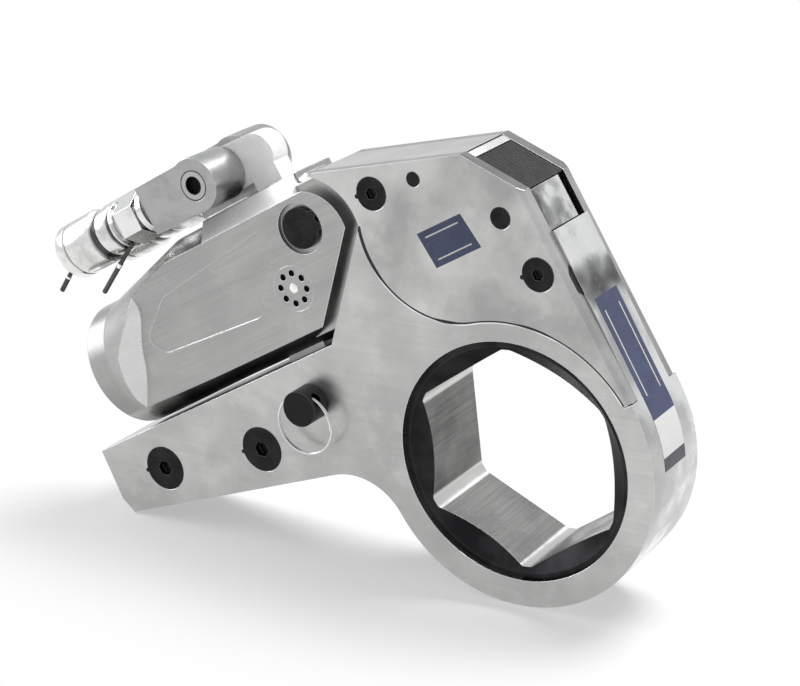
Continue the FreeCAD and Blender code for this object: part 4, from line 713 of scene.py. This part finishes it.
sleeve_outline = ((8.16, 0.0), (10.8, 0.0), (11.7, 0.5), (12.0, 1.2), (12.0, 5.0), (11.5, 5.5),
                  (11.5, 6.1), (12.0, 6.6), (12.0, 19.6), (11.6, 20.6), (10.4, 21.2), (9.3, 21.8),
                  (9.2, 23.0), (9.6, 24.0), (10.4, 24.6), (10.5, 25.4), (10.5, 29.8), (10.2, 30.6),
                  (9.2, 31.2), (9.2, 32.6), (10.2, 33.0), (10.2, 34.0), (8.16, 34.0), (8.16, 0.0))
for side, y, extra, body in (("front", -15.5, 0.0, "sleeve_front_body"),
                             ("back", 15.5, 1.6, "sleeve_back_body")):
    sleeve = turned([(radius + extra, height) for radius, height in sleeve_outline], 64)
    bmesh.ops.transform(sleeve, matrix=along(tilt(1000.0, 0.0, 0.0), tilt(-158.5, y, 152.3)),
                        verts=sleeve.verts)
    sleeve_piece = settle("turned_sleeve_" + side, sleeve, body, grooved_chrome, smooth=25.0)
    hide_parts("sleeve_" + side)


# --- Pull rods --------------------------------------------------------------
# Two short blackened rods with a bright ring hang under the couplers, one at
# the nut and one at the sleeve's end. They take the lanyards of the caps.

rod_grey = oiled_steel("rod_steel", 0.10, 0.36)


def rod(name, start, end, body):
    """A slim stepped rod between two places in the power head's axes."""
    first, last = tilt(*start), tilt(*end)
    length = (last - first).length * 1000.0
    mesh = turned([(0.0, 0.0), (0.7, 0.0), (0.95, 0.3), (0.95, length * 0.42),
                   (0.7, length * 0.43), (0.7, length * 0.47), (1.1, length * 0.48),
                   (1.1, length - 0.3), (0.9, length), (0.0, length)], 24)
    bmesh.ops.transform(mesh, matrix=along(last - first, first), verts=mesh.verts)
    low, high = length * 0.42, length * 0.49
    band = turned([(0.5, low), (1.2, low), (1.2, high), (0.5, high), (0.5, low)], 24)
    bmesh.ops.transform(band, matrix=along(last - first, first), verts=band.verts)
    settle(name + "_band", band, body, post_chrome)
    settle(name, mesh, body, rod_grey)


rod("pull_rod_nut", (-123.5, -19.2, 144.2), (-149.8, -20.2, 131.3), "arms")
rod("pull_rod_sleeve", (-155.0, -23.5, 147.0), (-167.6, -24.2, 140.2), "sleeve_front_body")


# --- Screw locks ------------------------------------------------------------
# A small round key beside each screw head keeps it from turning back.

screw_keys = []
for x, z, head in ((-59.5, 101.0, 6.7), (12.5, 78.5, 6.7), (-170.4, -35.5, 9.75), (-118.5, -16.8, 9.75)):
    key = turned([(0.0, 0.12), (0.8, 0.12), (1.0, -0.05), (1.0, -1.0), (0.0, -1.0)], 20)
    turn = math.radians(196.0)
    beside = head + 0.25
    place = Vector((x + beside * math.cos(turn), -19.2, z + beside * math.sin(turn))) / 1000.0
    bmesh.ops.transform(key, matrix=along((0, -1, 0), place), verts=key.verts)
    screw_keys.append(key)
locks = screw_keys[0]
for extra in screw_keys[1:]:
    holder = bpy.data.meshes.new("key")
    extra.to_mesh(holder)
    locks.from_mesh(holder)
    bpy.data.meshes.remove(holder)
    extra.free()
settle("screw_keys", locks, "link", screw_black)


# --- Blank name plates ------------------------------------------------------
# Two thin dark blue foil labels, one on the front plate and one on the link's
# right-hand wall, without print: two pale lines, and a blank pale field.

foil = Finish("blue_foil")
place = foil.node("TexCoord", output="UV")
across = foil.axis(place)
up = foil.axis(place, 1)
spot = foil.node("TexCoord", output="Object")
scuff = foil.rise(foil.noise(spot, 900.0, 4.0), 0.5, 0.75)
cloud = foil.rise(foil.noise(spot, 120.0, 3.0), 0.35, 0.7)
line = ((up > 0.80) * (up < 0.84) + (up > 0.16) * (up < 0.20)) * (across > 0.12) * (across < 0.88)
blue = foil.blend(cloud, (0.030, 0.040, 0.095), (0.042, 0.055, 0.125))
blue = foil.blend(scuff * 0.35, blue, (0.12, 0.13, 0.19))
long_side = foil.node("UVMap", {"uv_map": "field"})
field = foil.axis(long_side)
lined = foil.blend(line * (1.0 - scuff * 0.4) * (field < 0.64), blue, (0.62, 0.60, 0.56))
lined = foil.blend((field > 0.71) * (field < 0.925), lined, (0.70, 0.70, 0.69))
lined = foil.blend((field > 0.925), lined, (0.035, 0.037, 0.05))
foil.lay(lined, 0.34 + scuff * 0.2 + (cloud - 0.5) * 0.1)


def label(name, corners, thickness, body):
    """A thin sheet through four corners, with its own map over the front."""
    mesh = bmesh.new()
    face = mesh.faces.new([mesh.verts.new(corner) for corner in corners])
    layer = mesh.loops.layers.uv.new("sheet")
    for loop, place in zip(face.loops, ((0, 1), (1, 1), (1, 0), (0, 0))):
        loop[layer].uv = place
    face.normal_update()
    thicken(mesh, [face], -face.normal * thickness)
    return settle(name, mesh, body, foil.material)


label_y = -0.01932
label("plate_label", [(x / 1000.0, label_y, z / 1000.0) for x, z in
                      ((-39.5, 87.5), (-20.5, 98.0), (-11.5, 86.0), (-31.0, 75.0))], 0.0001, "link")
label_steps = 24      # strips of the wall label along its length
label_radius = 60.65  # its radius where the wall turns into the ring
ruled_share = 0.66    # the part of its length that is ruled blue foil
wall_places = []
for step in range(label_steps + 1):
    share = step / label_steps
    far = 44.0 - 71.5 * share
    turn = math.radians(30.0)
    if far > 0.0:
        reach_out = 60.6 + 1.2 * far / 73.8 + 0.05
        point = Vector((reach_out * math.cos(turn) - far * math.sin(turn), 0.0,
                        reach_out * math.sin(turn) + far * math.cos(turn)))
    else:
        bend = turn + far / label_radius
        point = Vector((label_radius * math.cos(bend), 0.0, label_radius * math.sin(bend)))
    wall_places.append(point)
wall_label = bmesh.new()
layer = wall_label.loops.layers.uv.new("sheet")
lengths = wall_label.loops.layers.uv.new("field")
rows = [[wall_label.verts.new((point + Vector((0.0, y, 0.0))) / 1000.0) for y in (-9.6, 8.4)]
        for point in wall_places]
for index, (upper, lower) in enumerate(zip(rows, rows[1:])):
    face = wall_label.faces.new((upper[0], upper[1], lower[1], lower[0]))
    start, end = index / label_steps, (index + 1) / label_steps
    for loop, place in zip(face.loops, ((start, 0), (start, 1), (end, 1), (end, 0))):
        loop[layer].uv = (place[0] / ruled_share, place[1])
        loop[lengths].uv = place
settle("wall_label", wall_label, "link", foil.material)


# --- Floor, light and camera ------------------------------------------------
# The tool stands on its ring and the toe of its tail on a seamless pale sweep
# under one large soft light overhead and a paler one on the left.

floor_mesh = bmesh.new()
bmesh.ops.create_grid(floor_mesh, x_segments=1, y_segments=1, size=12.0,
                      matrix=Matrix.Translation((0.0, 0.0, cad_box[0].z - 0.0001)))
floor_data = bpy.data.meshes.new("floor")
floor_mesh.to_mesh(floor_data)
floor_mesh.free()
floor = bpy.data.objects.new("floor", floor_data)
bpy.context.collection.objects.link(floor)
sweep = Finish("pale_sweep")
sweep.shader.inputs["Specular IOR Level"].default_value = 0.2
place = sweep.node("TexCoord", output="Object")
sweep.lay(sweep.blend(sweep.noise(place, 3.0, 2.0), (0.90, 0.90, 0.90), (0.925, 0.925, 0.925)), 0.6)
white = sweep.node("Emission", {}, {"Color": (1.0, 1.0, 1.0, 1.0), "Strength": 1.0})
seen = sweep.node("LightPath", output="Is Camera Ray")
mirrored = (sweep.node("LightPath", output="Is Glossy Ray")
            + sweep.node("LightPath", output="Is Transmission Ray"))
# The floor glows white to the camera, weaker near the tool so that its shadow stays beside it and fades
# further out, and reflections see this glow too.
under = sweep.node("Mapping", {}, {"Vector": place, "Location": (0.030, 0.0, 0.0),
                                   "Scale": (0.35, 1.2, 1.0)})
away = sweep.node("VectorMath", {"operation": "LENGTH"}, {0: under}, "Value")
share = sweep.most(seen * sweep.rise(away, 0.05, 0.18, 0.28, 1.0), mirrored * 0.7)
mixed = sweep.node("MixShader", {}, {0: share, 1: Wire(sweep, sweep.shader.outputs[0]), 2: white})
sweep.tree.links.new(mixed.socket, sweep.tree.nodes["Material Output"].inputs["Surface"])
floor_data.materials.append(sweep.material)


class Studio(Finish):
    """The world's nodes, made by the methods of a finish."""

    def __init__(self, world):
        self.tree = world.node_tree


world = bpy.data.worlds.new("studio")
bpy.context.scene.world = world
world.use_nodes = True
sky = world.node_tree.nodes["Background"]
sky.inputs["Color"].default_value = (0.97, 0.98, 1.0, 1.0)
studio = Studio(world)
shown = (studio.node("LightPath", output="Is Glossy Ray")
         + studio.node("LightPath", output="Is Transmission Ray")) * 0.85
strength = studio.most(studio.most(studio.node("LightPath", output="Is Camera Ray"), shown), 0.42)
studio.tree.links.new(strength.socket, sky.inputs["Strength"])


def soft_light(name, place, towards, width, height, power):
    lamp = bpy.data.lights.new(name, "AREA")
    lamp.shape, lamp.size, lamp.size_y, lamp.energy = "RECTANGLE", width, height, power
    holder = bpy.data.objects.new(name, lamp)
    direction = Vector(towards) - Vector(place)
    aim = direction.to_track_quat("-Z", "Y").to_matrix().to_4x4()
    holder.matrix_world = Matrix.Translation(place) @ aim
    bpy.context.collection.objects.link(holder)
    return holder


soft_light("overhead", (0.28, 0.55, 1.20), (-0.03, 0.0, 0.03), 0.75, 0.75, 19.0)
soft_light("left", (-1.15, -0.25, 0.52), (-0.05, 0.0, 0.05), 1.0, 0.7, 6.0)

camera_data = bpy.data.cameras.new("camera")
camera_data.sensor_width = 36.0
camera_data.lens = 98.83
camera_data.clip_start = 0.01
camera = bpy.data.objects.new("camera", camera_data)
right = Vector((0.853725, 0.519560, -0.034805)).normalized()
down = Vector((0.152155, -0.312820, -0.937546)).normalized()
turn = Matrix((right, -down, right.cross(-down).normalized())).transposed()
camera.matrix_world = Matrix.Translation((0.378471, -0.701532, 0.338648)) @ turn.to_4x4()
bpy.context.collection.objects.link(camera)
bpy.context.scene.camera = camera
bpy.context.scene.view_settings.view_transform = "Standard"
